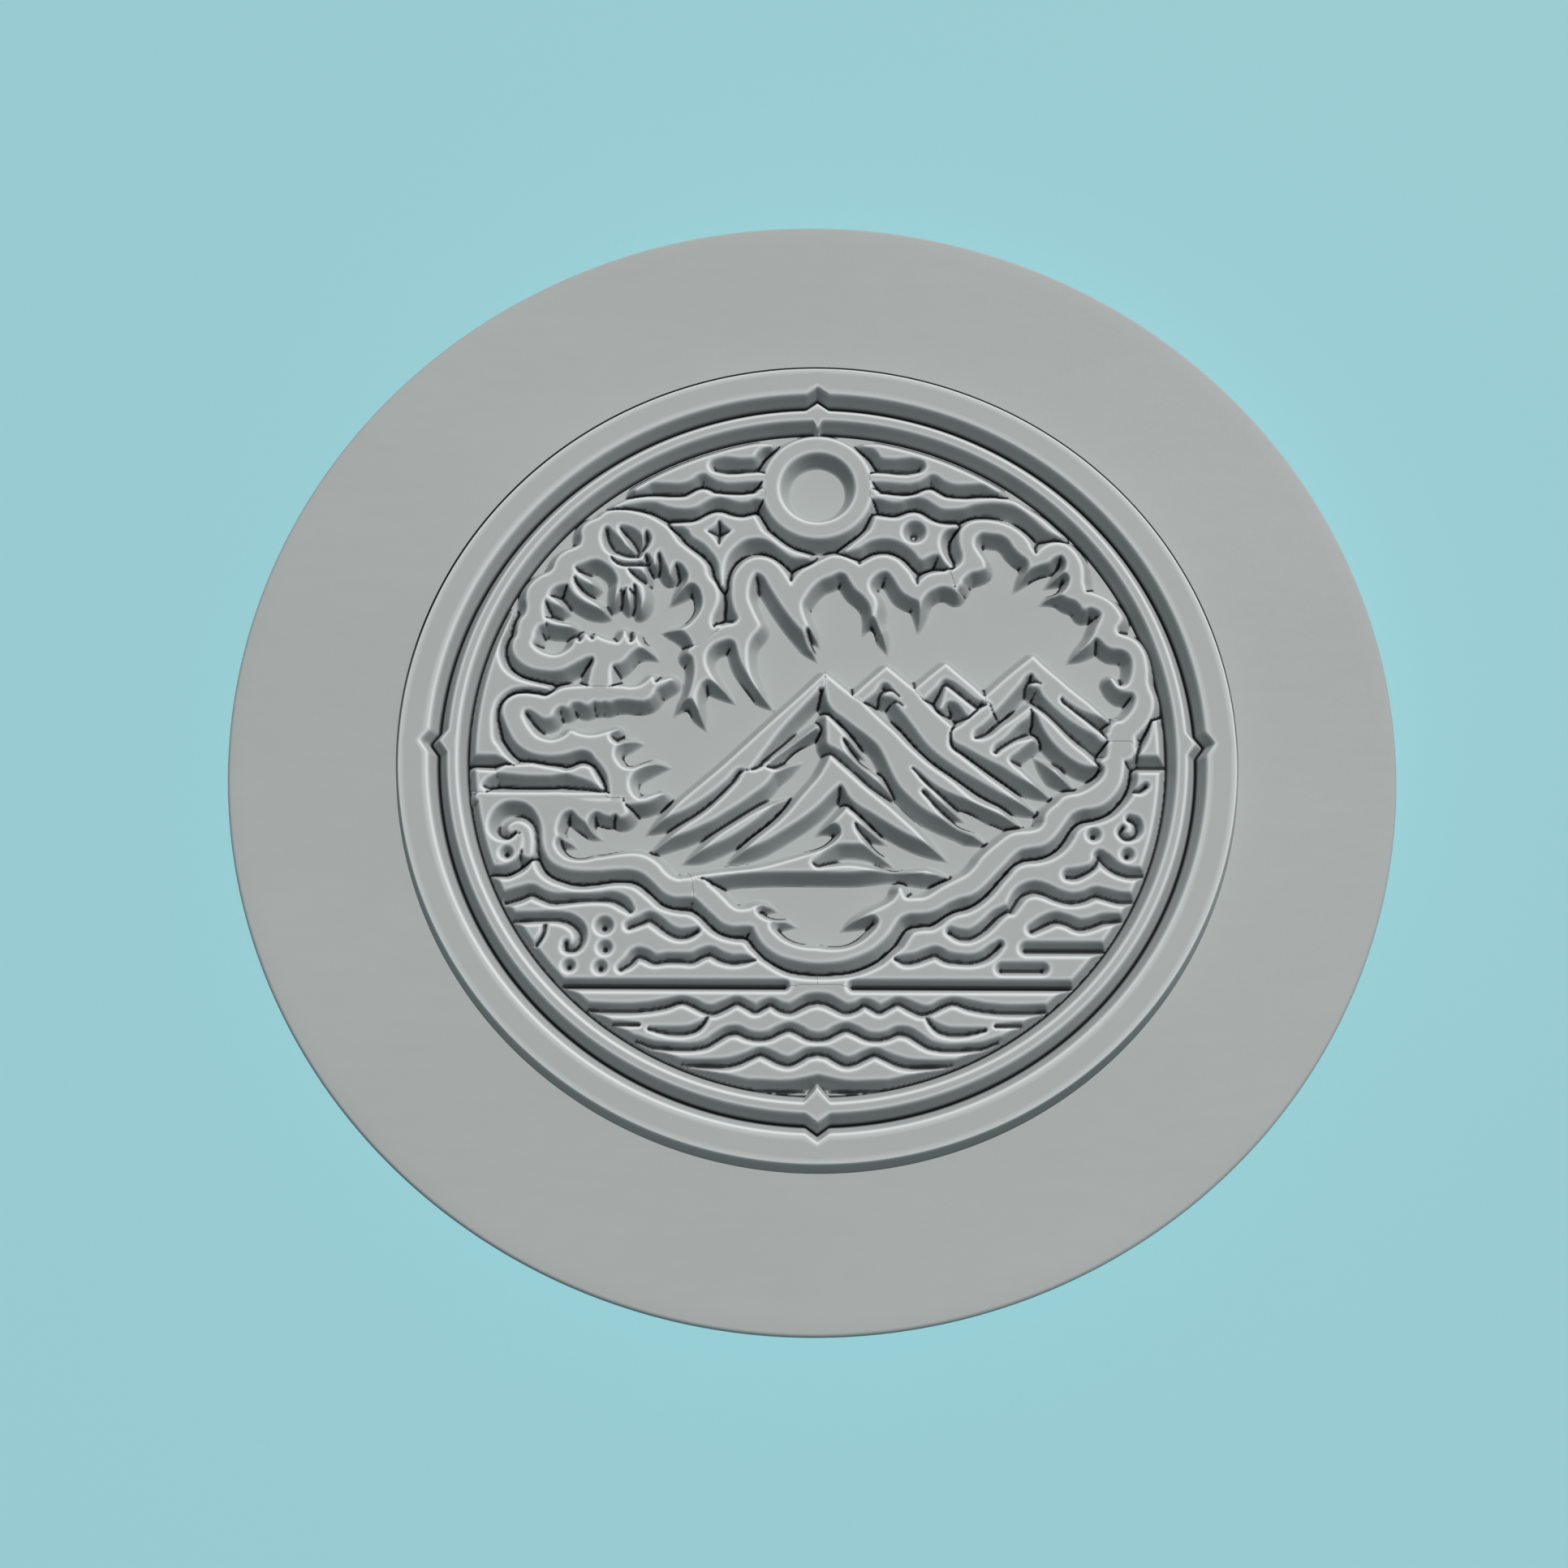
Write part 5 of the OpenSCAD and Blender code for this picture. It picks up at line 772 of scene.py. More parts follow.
GROOVES = [
    [[-23.4, -12.1, 0.75], [-22.3, -11.75, 0.75], [-21.5, -11.5, 0.66], [-20.8, -11.8, 0.6],
     [-20, -12.1, 0.62], [-18.5, -12.05, 0.55], [-16.5, -11.97, 0.48], [-15.3, -12, 0.6],
     [-14.5, -12.4, 0.62], [-14.05, -12.85, 0.45]],
    [[-23, -13.6, 0.6], [-21, -13.52, 0.57], [-19.5, -13.5, 0.56], [-18.5, -13.75, 0.62],
     [-17.8, -14.4, 0.64], [-17.68, -15.2, 0.54], [-18.1, -15.85, 0.5], [-18.7, -15.85, 0.46],
     [-18.75, -15.45, 0.38]],
    [[-20.35, -14, 0.3], [-20.5, -14.8, 0.3], [-21, -15.6, 0.35]],
    [[-14.05, -14.1, 0.48], [-13.2, -13.75, 0.52], [-12.6, -13.5, 0.58], [-11.9, -13.9, 0.6],
     [-11.2, -14.45, 0.57], [-10.3, -14.8, 0.58], [-9.5, -14.68, 0.52], [-9, -14.45, 0.38]],
    [[-14.6, -17.35, 0.45], [-14, -16.9, 0.56], [-13.4, -16.3, 0.62], [-12.9, -16.4, 0.62],
     [-12.2, -16.75, 0.56], [-11.2, -16.65, 0.56], [-10.2, -16.65, 0.56], [-9.3, -16.65, 0.6],
     [-8.6, -16.3, 0.58], [-8, -16.15, 0.58], [-7.3, -16.5, 0.58], [-6.4, -16.75, 0.55],
     [-5.4, -16.7, 0.48], [-4.6, -16.72, 0.12]],
    [[-26, -18.65, 0.56], [-2.5, -18.65, 0.56]],
    [[2.7, -18.65, 0.58], [26, -18.65, 0.58]],
    [[24, -3.35, 0.3], [24.55, -3.25, 0.42], [24.95, -2.95, 0.4]],
    [[23.65, -5.55, 0.42], [24.1, -5.8, 0.52], [24.2, -6.5, 0.52], [23.8, -7, 0.42], [23.2, -7, 0.42],
     [22.95, -6.6, 0.42], [23.1, -6.3, 0.36]],
    [[25, -9.85, 0.58], [23.3, -9.85, 0.62], [22.4, -9.5, 0.64], [21.7, -8.9, 0.68], [21.3, -8.5, 0.58]],
    [[21.3, -8.55, 0.5], [20.85, -9.3, 0.42], [20, -9.8, 0.54], [19.2, -10.02, 0.62], [18.9, -10, 0.58]],
    [[24.6, -11.85, 0.6], [22.5, -11.85, 0.65], [21.6, -11.6, 0.63], [20.9, -11.45, 0.62],
     [20, -11.8, 0.62], [19, -11.95, 0.63], [18, -11.7, 0.65], [17, -11.25, 0.68], [16.3, -11.1, 0.7],
     [15.3, -11.5, 0.66], [14.8, -12.2, 0.6], [14.5, -12.75, 0.5]],
    [[24, -13.45, 0.5], [22.3, -13.45, 0.55], [21.3, -13.55, 0.6], [20.5, -13.85, 0.62],
     [19.6, -14, 0.65], [18.6, -13.6, 0.6], [17.8, -13.45, 0.64], [17, -13.75, 0.66], [16.1, -14.25, 0.56]],
    [[15.6, -15.75, 0.64], [23, -15.75, 0.64]],
    [[13.75, -17.3, 0.6], [16.75, -17.3, 0.6]],
    [[5.9, -16.55, 0.3], [6.5, -16.7, 0.55], [7.3, -16.6, 0.58], [8.1, -16.3, 0.6], [8.8, -16.1, 0.6],
     [9.6, -16.5, 0.6], [10.6, -16.65, 0.57], [11.6, -16.65, 0.57], [12.4, -16.4, 0.6],
     [13.1, -15.9, 0.6], [13.6, -15.45, 0.45]],
    [[9.95, -14.45, 0.48], [10.6, -14.75, 0.6], [11.3, -14.8, 0.62], [12, -14.5, 0.62],
     [12.7, -13.95, 0.62], [13.4, -13.25, 0.6], [14.1, -12.8, 0.5], [14.6, -12.6, 0.5]],
]
LOW_GROOVES = [
    [[-18, -20.42, 0.55], [-12.5, -20.4, 0.55], [-11.2, -20.15, 0.55], [-10, -19.85, 0.46],
     [-9.2, -20.1, 0.5], [-8.4, -20.5, 0.5], [-7.8, -20.62, 0.58], [-7, -20.33, 0.58], [-5.9, -19.9, 0.5],
     [-5.2, -20.22, 0.5], [-4.6, -20.5, 0.53], [-4, -20.2, 0.53], [-3.5, -20, 0.5], [-2.8, -20.35, 0.55],
     [-2.1, -20.5, 0.6], [-1.3, -20.15, 0.63], [-0.7, -19.85, 0.65], [0, -19.72, 0.62]],
    [[-17, -21.6, 0.3], [-14.5, -21.62, 0.33], [-13.2, -21.65, 0.22]],
    [[-12.4, -21.95, 0.25], [-11.6, -22.1, 0.4], [-10.5, -22.2, 0.5], [-9.6, -22.15, 0.5],
     [-8.9, -21.9, 0.48], [-8.35, -21.4, 0.32], [-8.1, -20.95, 0.28]],
    [[-14.2, -22.6, 0.4], [-13.4, -22.8, 0.42], [-12.2, -23.25, 0.48], [-11, -23.35, 0.46],
     [-9, -23.35, 0.46], [-8.2, -23.15, 0.5], [-7.4, -22.65, 0.55], [-6.6, -22.2, 0.55],
     [-5.9, -22.15, 0.53], [-5.2, -22.45, 0.5], [-4.4, -22.6, 0.5], [-3.6, -22.5, 0.5],
     [-2.8, -22.1, 0.52], [-2.1, -21.88, 0.52], [-1.4, -22.12, 0.55], [-0.7, -22.5, 0.52], [0, -22.62, 0.5]],
    [[-11.2, -24.35, 0.35], [-9.5, -24.6, 0.45], [-8, -24.65, 0.5], [-6.6, -24.6, 0.55],
     [-5.8, -24.4, 0.55], [-5, -24.05, 0.5], [-4.2, -23.75, 0.5], [-3.5, -24, 0.55], [-2.8, -24.35, 0.55],
     [-2.1, -24.48, 0.55], [-1.4, -24.2, 0.55], [-0.8, -23.85, 0.53], [0, -23.7, 0.5]],
    [[-7.5, -26.4, 0.6], [-5, -26.4, 0.75], [-2, -26.45, 0.75], [0, -26.3, 1.0]],
]
DOTS = [
    [-15.95, -14.1, 0.8], [-15.85, -15.8, 0.66], [-18.5, -17.2, 0.6], [-16.15, -17.3, 0.62],
    [20.9, -6.85, 0.64], [23.4, -8.4, 0.62]
]
WATER_LINE = -18.65
print("water with", len(GROOVES) + 2 * len(LOW_GROOVES), "grooves and", len(DOTS), "dots")

# %% Every island's distance, by the name of its CAD node
SUN_Y, SUN_R, SUN_HOLE_R = 21.65, 4.3, 3.05
RIM_OUT, RIM_IN, RING_OUT, RING_IN = 32.0, 29.8, 28.2, 27.5
SKY_DOT = [7.6, 17.9, 1.0]
STAR_PIT = [
    [-7.68, 19, 1], [-8.1, 18.4], [-8.75, 17.95, 1], [-8.2, 17.4], [-7.68, 16.65, 1], [-7.2, 17.4],
    [-6.65, 17.95, 1], [-7.2, 18.4]
]
# The pine's needle tufts: hollows cut in the canopy, and blades [x, y, half width] that sink where negative
TUFT_HOLLOWS = [
    [[-16.5, 18, 0.35], [-16.4, 17.5, 0.6], [-16.2, 17.1, 0.75], [-15.9, 16.7, 0.85], [-15.5, 16.4, 0.7],
     [-14.9, 16.1, 0.6], [-14.3, 16, 0.55]],
    [[-15.35, 18.15, 0.3], [-15, 17.85, 0.55], [-14.6, 17.5, 0.7], [-14.3, 17.1, 0.75], [-14.1, 16.7, 0.7],
     [-14, 16.3, 0.6], [-14.1, 16, 0.55]],
    [[-13.4, 17.8, 0.25], [-13.35, 17.3, 0.45], [-13.45, 16.8, 0.42], [-13.7, 16.4, 0.4], [-13.9, 16.1, 0.4]],
    [[-16.1, 15.65, 0.1], [-15.7, 15.3, 0.25], [-15.2, 15.12, 0.3], [-14.4, 15.1, 0.3], [-13.8, 15.15, 0.35],
     [-13.2, 15.2, 0.5]],
    [[-14.8, 14.75, 0.1], [-14.4, 14.45, 0.35], [-13.9, 14.1, 0.5], [-13.4, 13.8, 0.6]],
]
TUFT_BLADES = [
    [[-19.1, 14.4, 0.12], [-18.3, 13.85, 0.1], [-17.6, 13.5, -0.05], [-16.95, 13.35, -0.6]],
    [[-19.25, 13.5, 0.18], [-18.85, 12.75, 0.14], [-18.2, 12.15, 0.1], [-17.4, 11.7, 0.05],
     [-16.7, 11.35, -0.2], [-16.2, 11.05, -0.6]],
    [[-21.2, 12.4, 0.12], [-20.5, 11.9, 0.1], [-20, 11.65, -0.1], [-19.4, 11.4, -0.6]],
    [[-14.85, 14.4, 0.22], [-14.3, 13.9, 0.18], [-13.9, 13.4, 0.15], [-13.65, 12.7, 0.12],
     [-13.6, 12, 0], [-13.8, 11.3, -0.3], [-14.05, 10.95, -0.7]],
    [[-14.8, 13.3, 0.1], [-14.68, 12.5, 0.02], [-14.65, 11.9, -0.2], [-14.7, 11.3, -0.65]],
    [[-15.45, 13.3, 0.12], [-15.65, 12.5, -0.05], [-15.85, 11.9, -0.35], [-16, 11.5, -0.7]],
    [[-21.5, 10.6, 0.12], [-20.6, 10.15, 0.08], [-19.8, 9.98, 0.02], [-19.1, 9.93, -0.1],
     [-18.5, 9.85, -0.55]],
]


def sun():
    """Outside the sun's disc or inside its hollow, whichever is more."""
    r = np.hypot(GX, GY - SUN_Y)
    return np.maximum(r - SUN_R, SUN_HOLE_R - r)


def united(*outlines):
    """The nearest of several islands."""
    return np.minimum.reduce([island(points) for points in outlines])


def clipped(gap):
    """An island kept inside the picture's round edge."""
    return np.maximum(gap, field)


def mirrored(points):
    """The same points on the other side of the middle."""
    return [[-p[0], *p[1:]] for p in points]


CURL = [[-21.85, -8.4, 0.35], [-21.9, -7.4, 0.38], [-22.15, -6.65, 0.38], [-22.75, -6.35, 0.3],
        [-23.2, -6.6, 0.15], [-23.25, -7, -0.2]]


def canopy():
    """The canopy with its blades, less its hollows."""
    gap = island(PINE_CANOPY, upward=False)
    rise, cut = np.full(GX.shape, -FAR), np.full(GX.shape, -FAR)
    for line in TUFT_BLADES:
        rise = band(line, rise)
    for line in TUFT_HOLLOWS:
        cut = band(line, cut)
    return np.maximum(np.minimum(gap, -rise), cut)


RIGHT_BANK = [[24.7, -0.45, 1], [25.3, 0.6], [25.75, 2.2, 1], [27, 2.2, 1], [27, -0.45, 1]]


def water():
    """The water's whole sheet with a bit of bank on the right, in the field, less its grooves and dots."""
    gap = clipped(np.minimum(island(WATER, sink=False), island(RIGHT_BANK, sink=False)))
    cut = np.full(GX.shape, -FAR)
    for line in GROOVES + LOW_GROOVES + [mirrored(g) for g in LOW_GROOVES]:
        cut = band(line, cut)
    for dot in DOTS:
        cut = np.maximum(cut, spot(*dot))
    return np.maximum(gap, cut)


def part_of(gap, where):
    """The gap where the test holds, and far off elsewhere."""
    return np.where(where, gap, FAR)


SHORE_PIT = [-23.45, -8.45, 0.62]


def left_shore():
    """The shore and its curl, less a small round pit."""
    shore = np.minimum(clipped(island(LEFT_SHORE, upward=False)), -band(CURL))
    return np.maximum(shore, spot(*SHORE_PIT))


WATER_GAP = water()
ISLANDS = {
    "sun_ring": sun,
    "cloud_left": lambda: island(CLOUD, sink=False),
    "cloud_right": lambda: island(mirrored(CLOUD), sink=False),
    "cloud_strip_left": lambda: island(STRIP_LEFT, sink=False),
    "cloud_strip_right": lambda: island(STRIP_RIGHT, sink=False),
    "sky_field_left": lambda: np.maximum(island(STARS_LEFT, sink=False), -island(STAR_PIT, sink=False)),
    "sky_field_right": lambda: np.maximum(island(STARS_RIGHT, sink=False), spot(*SKY_DOT)),
    "pine_canopy": canopy,
    "pine_branch": lambda: island(PINE_BRANCH, upward=False),
    "hanging_fronds": lambda: island(FRONDS, upward=False),
    "right_canopy": lambda: island(RIGHT_CANOPY, upward=False),
    "near_peak_west": lambda: united(RIDGE_WEST_LONG, RIDGE_WEST_MID, RIDGE_WEST_LOW),
    "near_peak_east": lambda: island(RIDGE_EAST),
    "near_peak_front": lambda: united(RIDGE_HEART, RIDGE_FRONT),
    "second_peak": lambda: island(SECOND_PEAK),
    "third_peak": lambda: united(THIRD_PEAK, THIRD_RIDGE, THIRD_CHIP),
    "far_peak": lambda: united(FAR_PEAK, FAR_RIDGE_MID, FAR_RIDGE_LOW),
    "front_hill": lambda: island(FRONT_HILL),
    "left_shore": left_shore,
    "shore_band": lambda: island(SHORE_BAND, upward=False),
    "left_bank": lambda: clipped(island(LEFT_BANK, sink=False)),
    "bank_ledge": lambda: clipped(island(BANK_LEDGE, sink=False)),
    "water_left": lambda: part_of(WATER_GAP, (GX < 0) & (GY > WATER_LINE)),
    "water_right": lambda: part_of(WATER_GAP, (GX >= 0) & (GY > WATER_LINE)),
    "water_low": lambda: part_of(WATER_GAP, GY <= WATER_LINE),
}
# Places where two islands run into one another: x, y, x, y and half a width to fill between them
JOINS = [
    [-16.75, 5.6, -16.75, 4.4, 0.7], [-9.1, 8.7, -7.7, 9.6, 0.3], [10.45, 14.2, 10.7, 13.8, 0.5],
    [23.3, 1.25, 23.3, 0.05, 0.95], [-25.6, -4.02, -15.9, -4.02, 0.27], [-15.5, -4.12, -15.1, -4.12, 0.35],
    [-10, -11.1, -8.8, -11.1, 0.62], [0.63, 5.6, 0.66, 5.2, 0.12], [2.85, 4.1, 3.35, 3.78, 0.14],
    [7.55, 4.55, 7.9, 4.2, 0.14],
    [12.9, 3.95, 13.3, 3.68, 0.14]
]

# %% From points to a piece
def piece_from(name, vertices, faces, slot, node, attributes=None):
    """Makes the mesh in metres, gives it its attributes and finish, and lets it stand for its CAD node."""
    mesh = bpy.data.meshes.new(name)
    mesh.from_pydata(vertices * MM, [], faces)
    mesh.shade_smooth()
    for key, values in (attributes or {}).items():
        mesh.attributes.new(key, "FLOAT", "POINT").data.foreach_set("value", values.astype(np.float32))
    mesh.materials.append(FINISH[slot])
    piece = bpy.data.objects.new(name, mesh)
    bpy.context.collection.objects.link(piece)
    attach(piece, "root")
    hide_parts(node)
    print(name, "has", len(mesh.polygons), "faces")
    return piece


# %% [markdown]
# ## The relief
# All islands are carved in one field of distances, so that neighbours meet in clean V grooves. Each small
# square of the grid then belongs to the island it is nearest to, and each island becomes its own closed piece.

# %% Distances of every island
gaps = {node: shape() for node, shape in ISLANDS.items()}
names = list(gaps)
stack = np.stack([gaps[node] for node in names])
nearest = stack.min(0)
for join in JOINS:
    a = np.array([join[0], join[1], join[4]])
    b = np.array([join[2], join[3], join[4]])
    nearest = np.minimum(nearest, -band([a, b]))
relief = DEPTH - fall(nearest)
print(len(names), "islands,", int((nearest < 0).mean() * 100), "percent of the grid is raised")

# %% [markdown]
# ### Where the finish changes
# Crests are painted paler, partly as wear and partly as a painted highlight, following the distance from a
# crest
# line. Painted shade darkens the places where the surface turns upwards sharply. That bend is measured on the
# grid:
# a point much lower than its neighbours lies in a groove.

# %% Paler crests, wear and painted highlight, and painted shade in the grooves
# The first width serves the paler crest band and the fade of the rings' painted shade; the rest turn the bend
# into painted shade.
CREST_AND_CREASE_WIDTH = 0.15
CREASE_SHADE_FROM, CREASE_SHADE_RATE = 1.4, 2.4
CREASE_SHADE_GAIN, CREASE_SHADE_SPREAD = 2.2, 0.7


def beside(values):
    """The sum of each grid point's four neighbours."""
    return sum(np.roll(values, s, a) for s in (1, -1) for a in (0, 1))


# Painted shade: near-black where the grid bends sharply upwards, at the feet of walls and in V grooves.
ring_gap = np.hypot(GX, GY)
ring_gap = np.maximum(RING_IN - ring_gap, ring_gap - RING_OUT)
around = DEPTH - fall(np.minimum(nearest, ring_gap))
bend = beside(around) - 4 * around
crease_shade = np.clip(CREASE_SHADE_RATE * bend / (WALL_SLOPE * STEP) - CREASE_SHADE_FROM, 0, 1)
crease_shade = np.clip(CREASE_SHADE_GAIN * crease_shade + CREASE_SHADE_SPREAD * beside(crease_shade), 0, 1)
# Paler crests, partly wear and partly painted highlight.
worn = np.exp(-((nearest / CREST_AND_CREASE_WIDTH) ** 2))
print("soot covers", round(float((crease_shade > 0.5).mean() * 100), 1), "percent of the grid")

# %% One closed piece for each island
SUNK = 0.03
LOWEST = 0.15
place = np.stack([GX, GY, np.where(nearest < FOOT + FOOT_SOFT, relief, -SUNK)], -1)
place[..., :2] += CENTRE
place[..., 2] += FLOOR_Z


def four_corners(values):
    """The values at the four corners of every grid square."""
    return np.stack([values[:-1, :-1], values[1:, :-1], values[:-1, 1:], values[1:, 1:]])


quad_owner = np.stack([four_corners(gap).sum(0) for gap in gaps.values()]).argmin(0)
quad_used = four_corners(nearest).min(0) < FOOT + FOOT_SOFT


def island_piece(node):
    """The island's squares as a top sheet, the same squares again below, and walls along the open edges."""
    own = quad_used & (quad_owner == names.index(node))
    i, j = np.nonzero(own)
    n = len(axis)
    corners = np.stack([i * n + j, (i + 1) * n + j, (i + 1) * n + j + 1, i * n + j + 1], -1)
    used, local = np.unique(corners, return_inverse=True)
    local = local.reshape(corners.shape)
    top = place.reshape(-1, 3)[used]
    bottom = top.copy()
    bottom[:, 2] = FLOOR_Z - LOWEST
    edges = np.concatenate([local[:, [k, (k + 1) % 4]] for k in range(4)])
    key = edges[:, 0].astype(np.int64) * len(used) + edges[:, 1]
    back = edges[:, 1].astype(np.int64) * len(used) + edges[:, 0]
    rim = edges[~np.isin(key, back)]
    m = len(used)
    walls = np.stack([rim[:, 1], rim[:, 0], rim[:, 0] + m, rim[:, 1] + m], -1)
    faces = np.concatenate([local, local[:, ::-1] + m, walls])
    # Each vertex carries its paler-crest value and its painted-shade value.
    values = {"worn": np.tile(worn.ravel()[used], 2), "crease_shade": np.tile(crease_shade.ravel()[used], 2)}
    return piece_from("carved_" + node, np.vstack([top, bottom]), faces.tolist(), SLOT_OF[node], node, values)


for node in names:
    island_piece(node)

# %% [markdown]
# ## The rings
# The rim and the notched ring are turned shapes with pointed spurs. They could be spun from a section, but
# a spin can't make the spurs. So one section is carried round as a function of the angle: the crest lines
# change with the angle, and the walls keep the same fall on both sides.

# %% Turned pieces
def tent(angle, centre, half_width, radius):
    """One at the centre angle, falling straight to nothing at the half width, measured along the circle."""
    turn = np.angle(np.exp(1j * (angle - math.radians(centre))))
    return np.clip(1 - np.abs(turn) * radius / half_width, 0, 1)


RING_SIDES = 1080
SHADOW_LIP_LEAST = 0.01
SHADOW_LIP_HEIGHT = 0.02


def ring_piece(node, centre, outer, inner, low_z, out_depth, steep=1.0, shadow_skirt=0.0, shade_share=1.0):
    """Section: from the outer foot over both crests to the inner foot, closed below. Outer and inner give
    each crest's radius by the angle. A steep outer wall takes only that fraction of the usual run. The next
    argument is the width, in millimetres for each angle, of a flat near-black lip round its foot: a painted
    shadow. The last says how much of its painted shade the outer wall keeps at each angle."""
    sides = RING_SIDES
    angle = np.linspace(0, 2 * np.pi, sides, endpoint=False)
    steps_out = np.concatenate([np.linspace(out_depth / WALL_SLOPE, CREST_SOFT, 15)[:-1],
                                np.linspace(CREST_SOFT, -CREST_SOFT, 6)])
    steps_in = np.concatenate([np.linspace(-CREST_SOFT, CREST_SOFT, 6), np.linspace(CREST_SOFT, FOOT, 15)[1:]])
    r_out, r_in = outer(angle)[:, None], inner(angle)[:, None]
    between = np.linspace(0, 1, 6)[None, 1:-1]
    first, last = r_out - CREST_SOFT, r_in + CREST_SOFT
    wall = r_out + np.where(steps_out > 0, steps_out * steep, steps_out)
    # A flat near-black lip round the outer foot: a painted shadow.
    shadow_lip = wall[:, :1] + np.broadcast_to(shadow_skirt, angle.shape)[:, None] + SHADOW_LIP_LEAST
    radius = np.hstack([shadow_lip, wall, first + (last - first) * between, r_in - steps_in])
    level = np.zeros(between.shape[1])
    z = np.hstack([SHADOW_LIP_HEIGHT - out_depth, -fall(steps_out, out_depth), level, -fall(steps_in)])
    gap = np.concatenate([[1], np.abs(steps_out), np.full(between.shape[1], 1.0), np.abs(steps_in)])
    # Painted shade: near-black on the lip and towards the feet of both walls.
    dark = np.concatenate([[1], steps_out - out_depth / WALL_SLOPE, np.full(between.shape[1], -9.0),
                           steps_in - FOOT])
    dark[1:] = np.clip(1.5 + dark[1:] / CREST_AND_CREASE_WIDTH, 0, 1)
    radius = np.hstack([radius, radius[:, -1:], radius[:, :1]])
    z = np.concatenate([TOP_Z + z, [low_z, low_z]])
    gap, dark = np.concatenate([gap, [1, 1]]), np.concatenate([dark, [1, 1]])
    count = len(z)
    x = centre[0] + radius * np.cos(angle)[:, None]
    y = centre[1] + radius * np.sin(angle)[:, None]
    points = np.stack([x, y, np.broadcast_to(z, x.shape)], -1).reshape(-1, 3)
    a, k = np.meshgrid(np.arange(sides), np.arange(count), indexing="ij")
    nxt, up = (a + 1) % sides, (k + 1) % count
    faces = np.stack([a * count + k, nxt * count + k, nxt * count + up, a * count + up], -1).reshape(-1, 4)
    dark = np.tile(dark, (sides, 1))
    # The outer wall's painted shade is scaled by the angle, so one side is darker.
    dark[:, : 1 + len(steps_out)] *= np.broadcast_to(shade_share, angle.shape)[:, None]
    values = {"worn": np.tile(np.exp(-((gap / CREST_AND_CREASE_WIDTH) ** 2)), sides), "crease_shade": dark.ravel()}
    return piece_from("carved_" + node, points, faces.tolist(), SLOT_OF[node], node, values)


COMPASS = (0.9, 90, 179.1, 270)
NOTCH = 0.65
NOTCH_HALF = 0.9
BRIDGE_HALF, BRIDGE_LONG = 0.35, 0.7
SPUR_HALF, SPUR_LONG = 0.95, 1.1


def rim_out(angle):
    """The rim's outer crest, a plain circle."""
    return np.full_like(angle, RIM_OUT)


def rim_in(angle):
    """The rim's inner crest, with a point outwards at each compass point."""
    return RIM_IN + NOTCH * sum(tent(angle, c, NOTCH_HALF, RIM_IN) for c in COMPASS)


def ring_out(angle):
    """The ring's outer crest, with a spur into each of the rim's notches."""
    return RING_OUT + NOTCH * sum(tent(angle, c, NOTCH_HALF, RING_OUT) for c in COMPASS)


def ring_in(angle):
    """The ring's inner crest: a thin bridge at the top and a broad spur at the bottom."""
    bridge = BRIDGE_LONG * tent(angle, 90, BRIDGE_HALF, RING_IN)
    return RING_IN - bridge - SPUR_LONG * tent(angle, 270, SPUR_HALF, RING_IN)


# The rim's outer wall is steep, and its painted shadow, a near-black lip and darkened foot, lies mostly at its
# far side.
RIM_STEEP = 0.35
behind = np.sin(np.linspace(0, 2 * np.pi, RING_SIDES, endpoint=False))
ring_piece("rim_band", CENTRE, rim_out, rim_in, DISC_TOP - LOWEST, TOP_Z - DISC_TOP, steep=RIM_STEEP,
           shadow_skirt=np.maximum(0.05 + 0.64 * behind, 0), shade_share=np.clip(0.5 + 1.5 * behind, 0.15, 1))
ring_piece("notched_ring", CENTRE, ring_out, ring_in, FLOOR_Z - LOWEST, DEPTH)

# %% [markdown]
# ## The disc
# The cake itself is a turned slab. Its top edge is only just softened, and it narrows downwards so that it
# leaves the mould. A section from pole to pole is carried round.

# %% The disc and the medallion's floor
FOOT_ROUND = 0.5
EDGE_ROUND = 0.3
DRAFT = 1.6


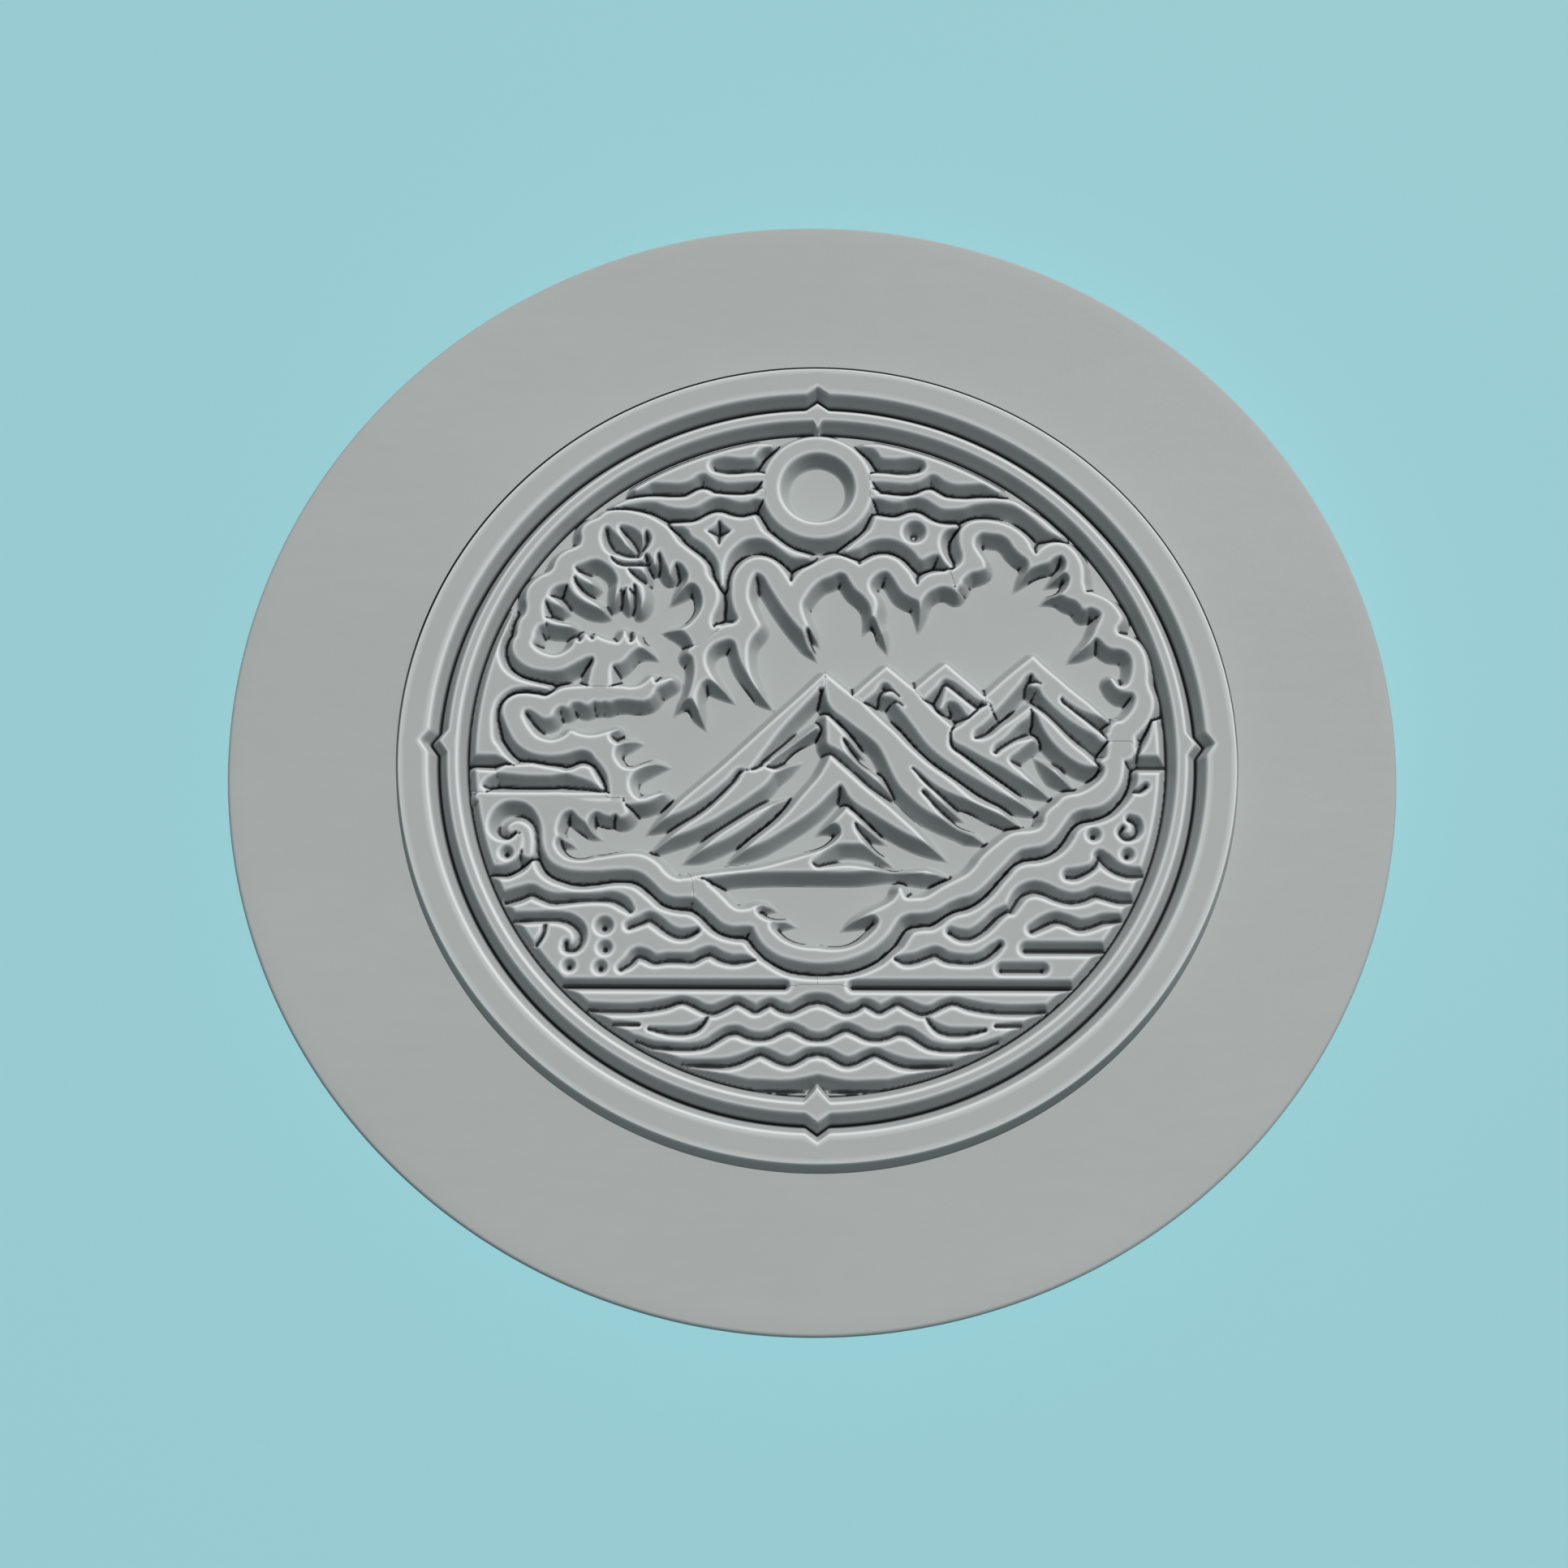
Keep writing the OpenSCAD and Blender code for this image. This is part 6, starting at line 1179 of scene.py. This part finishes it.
def turned(name, node, section, centre, slot, sides=360):
    """Carries a section of [radius, z], from the lower pole to the upper, round an upright axis."""
    section = np.array(section, float)
    angle = np.linspace(0, 2 * np.pi, sides, endpoint=False)[:, None]
    body = section[1:-1]
    count = len(body)
    x, y = centre[0] + body[:, 0] * np.cos(angle), centre[1] + body[:, 0] * np.sin(angle)
    points = np.stack([x, y, np.broadcast_to(body[:, 1], x.shape)], -1).reshape(-1, 3)
    poles = [[centre[0], centre[1], section[0, 1]], [centre[0], centre[1], section[-1, 1]]]
    a, k = np.meshgrid(np.arange(sides), np.arange(count - 1), indexing="ij")
    nxt = (a + 1) % sides
    sheet = np.stack([a * count + k, nxt * count + k, nxt * count + k + 1, a * count + k + 1], -1)
    ring = np.arange(sides)
    following = (ring + 1) % sides
    base, peak = sides * count, sides * count + 1
    under = [[base, b * count, c * count] for b, c in zip(following.tolist(), ring.tolist())]
    last = count - 1
    over = [[peak, c * count + last, b * count + last] for b, c in zip(following.tolist(), ring.tolist())]
    faces = sheet.reshape(-1, 4).tolist() + under + over
    return piece_from(name, np.vstack([points, poles]), faces, slot, node)


def rounded(r, z, size, start, end, steps=8):
    """A quarter-like arc about (r, z) between two angles in degrees."""
    turn = np.radians(np.linspace(start, end, steps))
    return np.stack([r + size * np.cos(turn), z + size * np.sin(turn)], -1)


foot_r = DISC_R - DRAFT
lean = math.degrees(math.atan2(DRAFT, DISC_TOP))
section = [[0, 0]] + [[r, 0] for r in np.linspace(8, foot_r - FOOT_ROUND - 1, 5)]
section += rounded(foot_r - FOOT_ROUND, FOOT_ROUND, FOOT_ROUND, -90, -lean).tolist()
section += [[foot_r + DRAFT * t, DISC_TOP * t] for t in np.linspace(0.15, 0.93, 5)]
section += rounded(DISC_R - EDGE_ROUND, DISC_TOP - EDGE_ROUND, EDGE_ROUND, -lean, 90).tolist()
section += [[r, DISC_TOP] for r in np.linspace(DISC_R - 1.5, 6, 12)] + [[0, DISC_TOP]]
turned("pressed_disc", "base_disc", section, np.zeros(2), "disc")

frame_floor = frame["nodes"]["medallion_floor"]
frame_floor.data.materials.clear()
frame_floor.data.materials.append(FINISH["floor"])
print("medallion floor keeps its CAD shape")
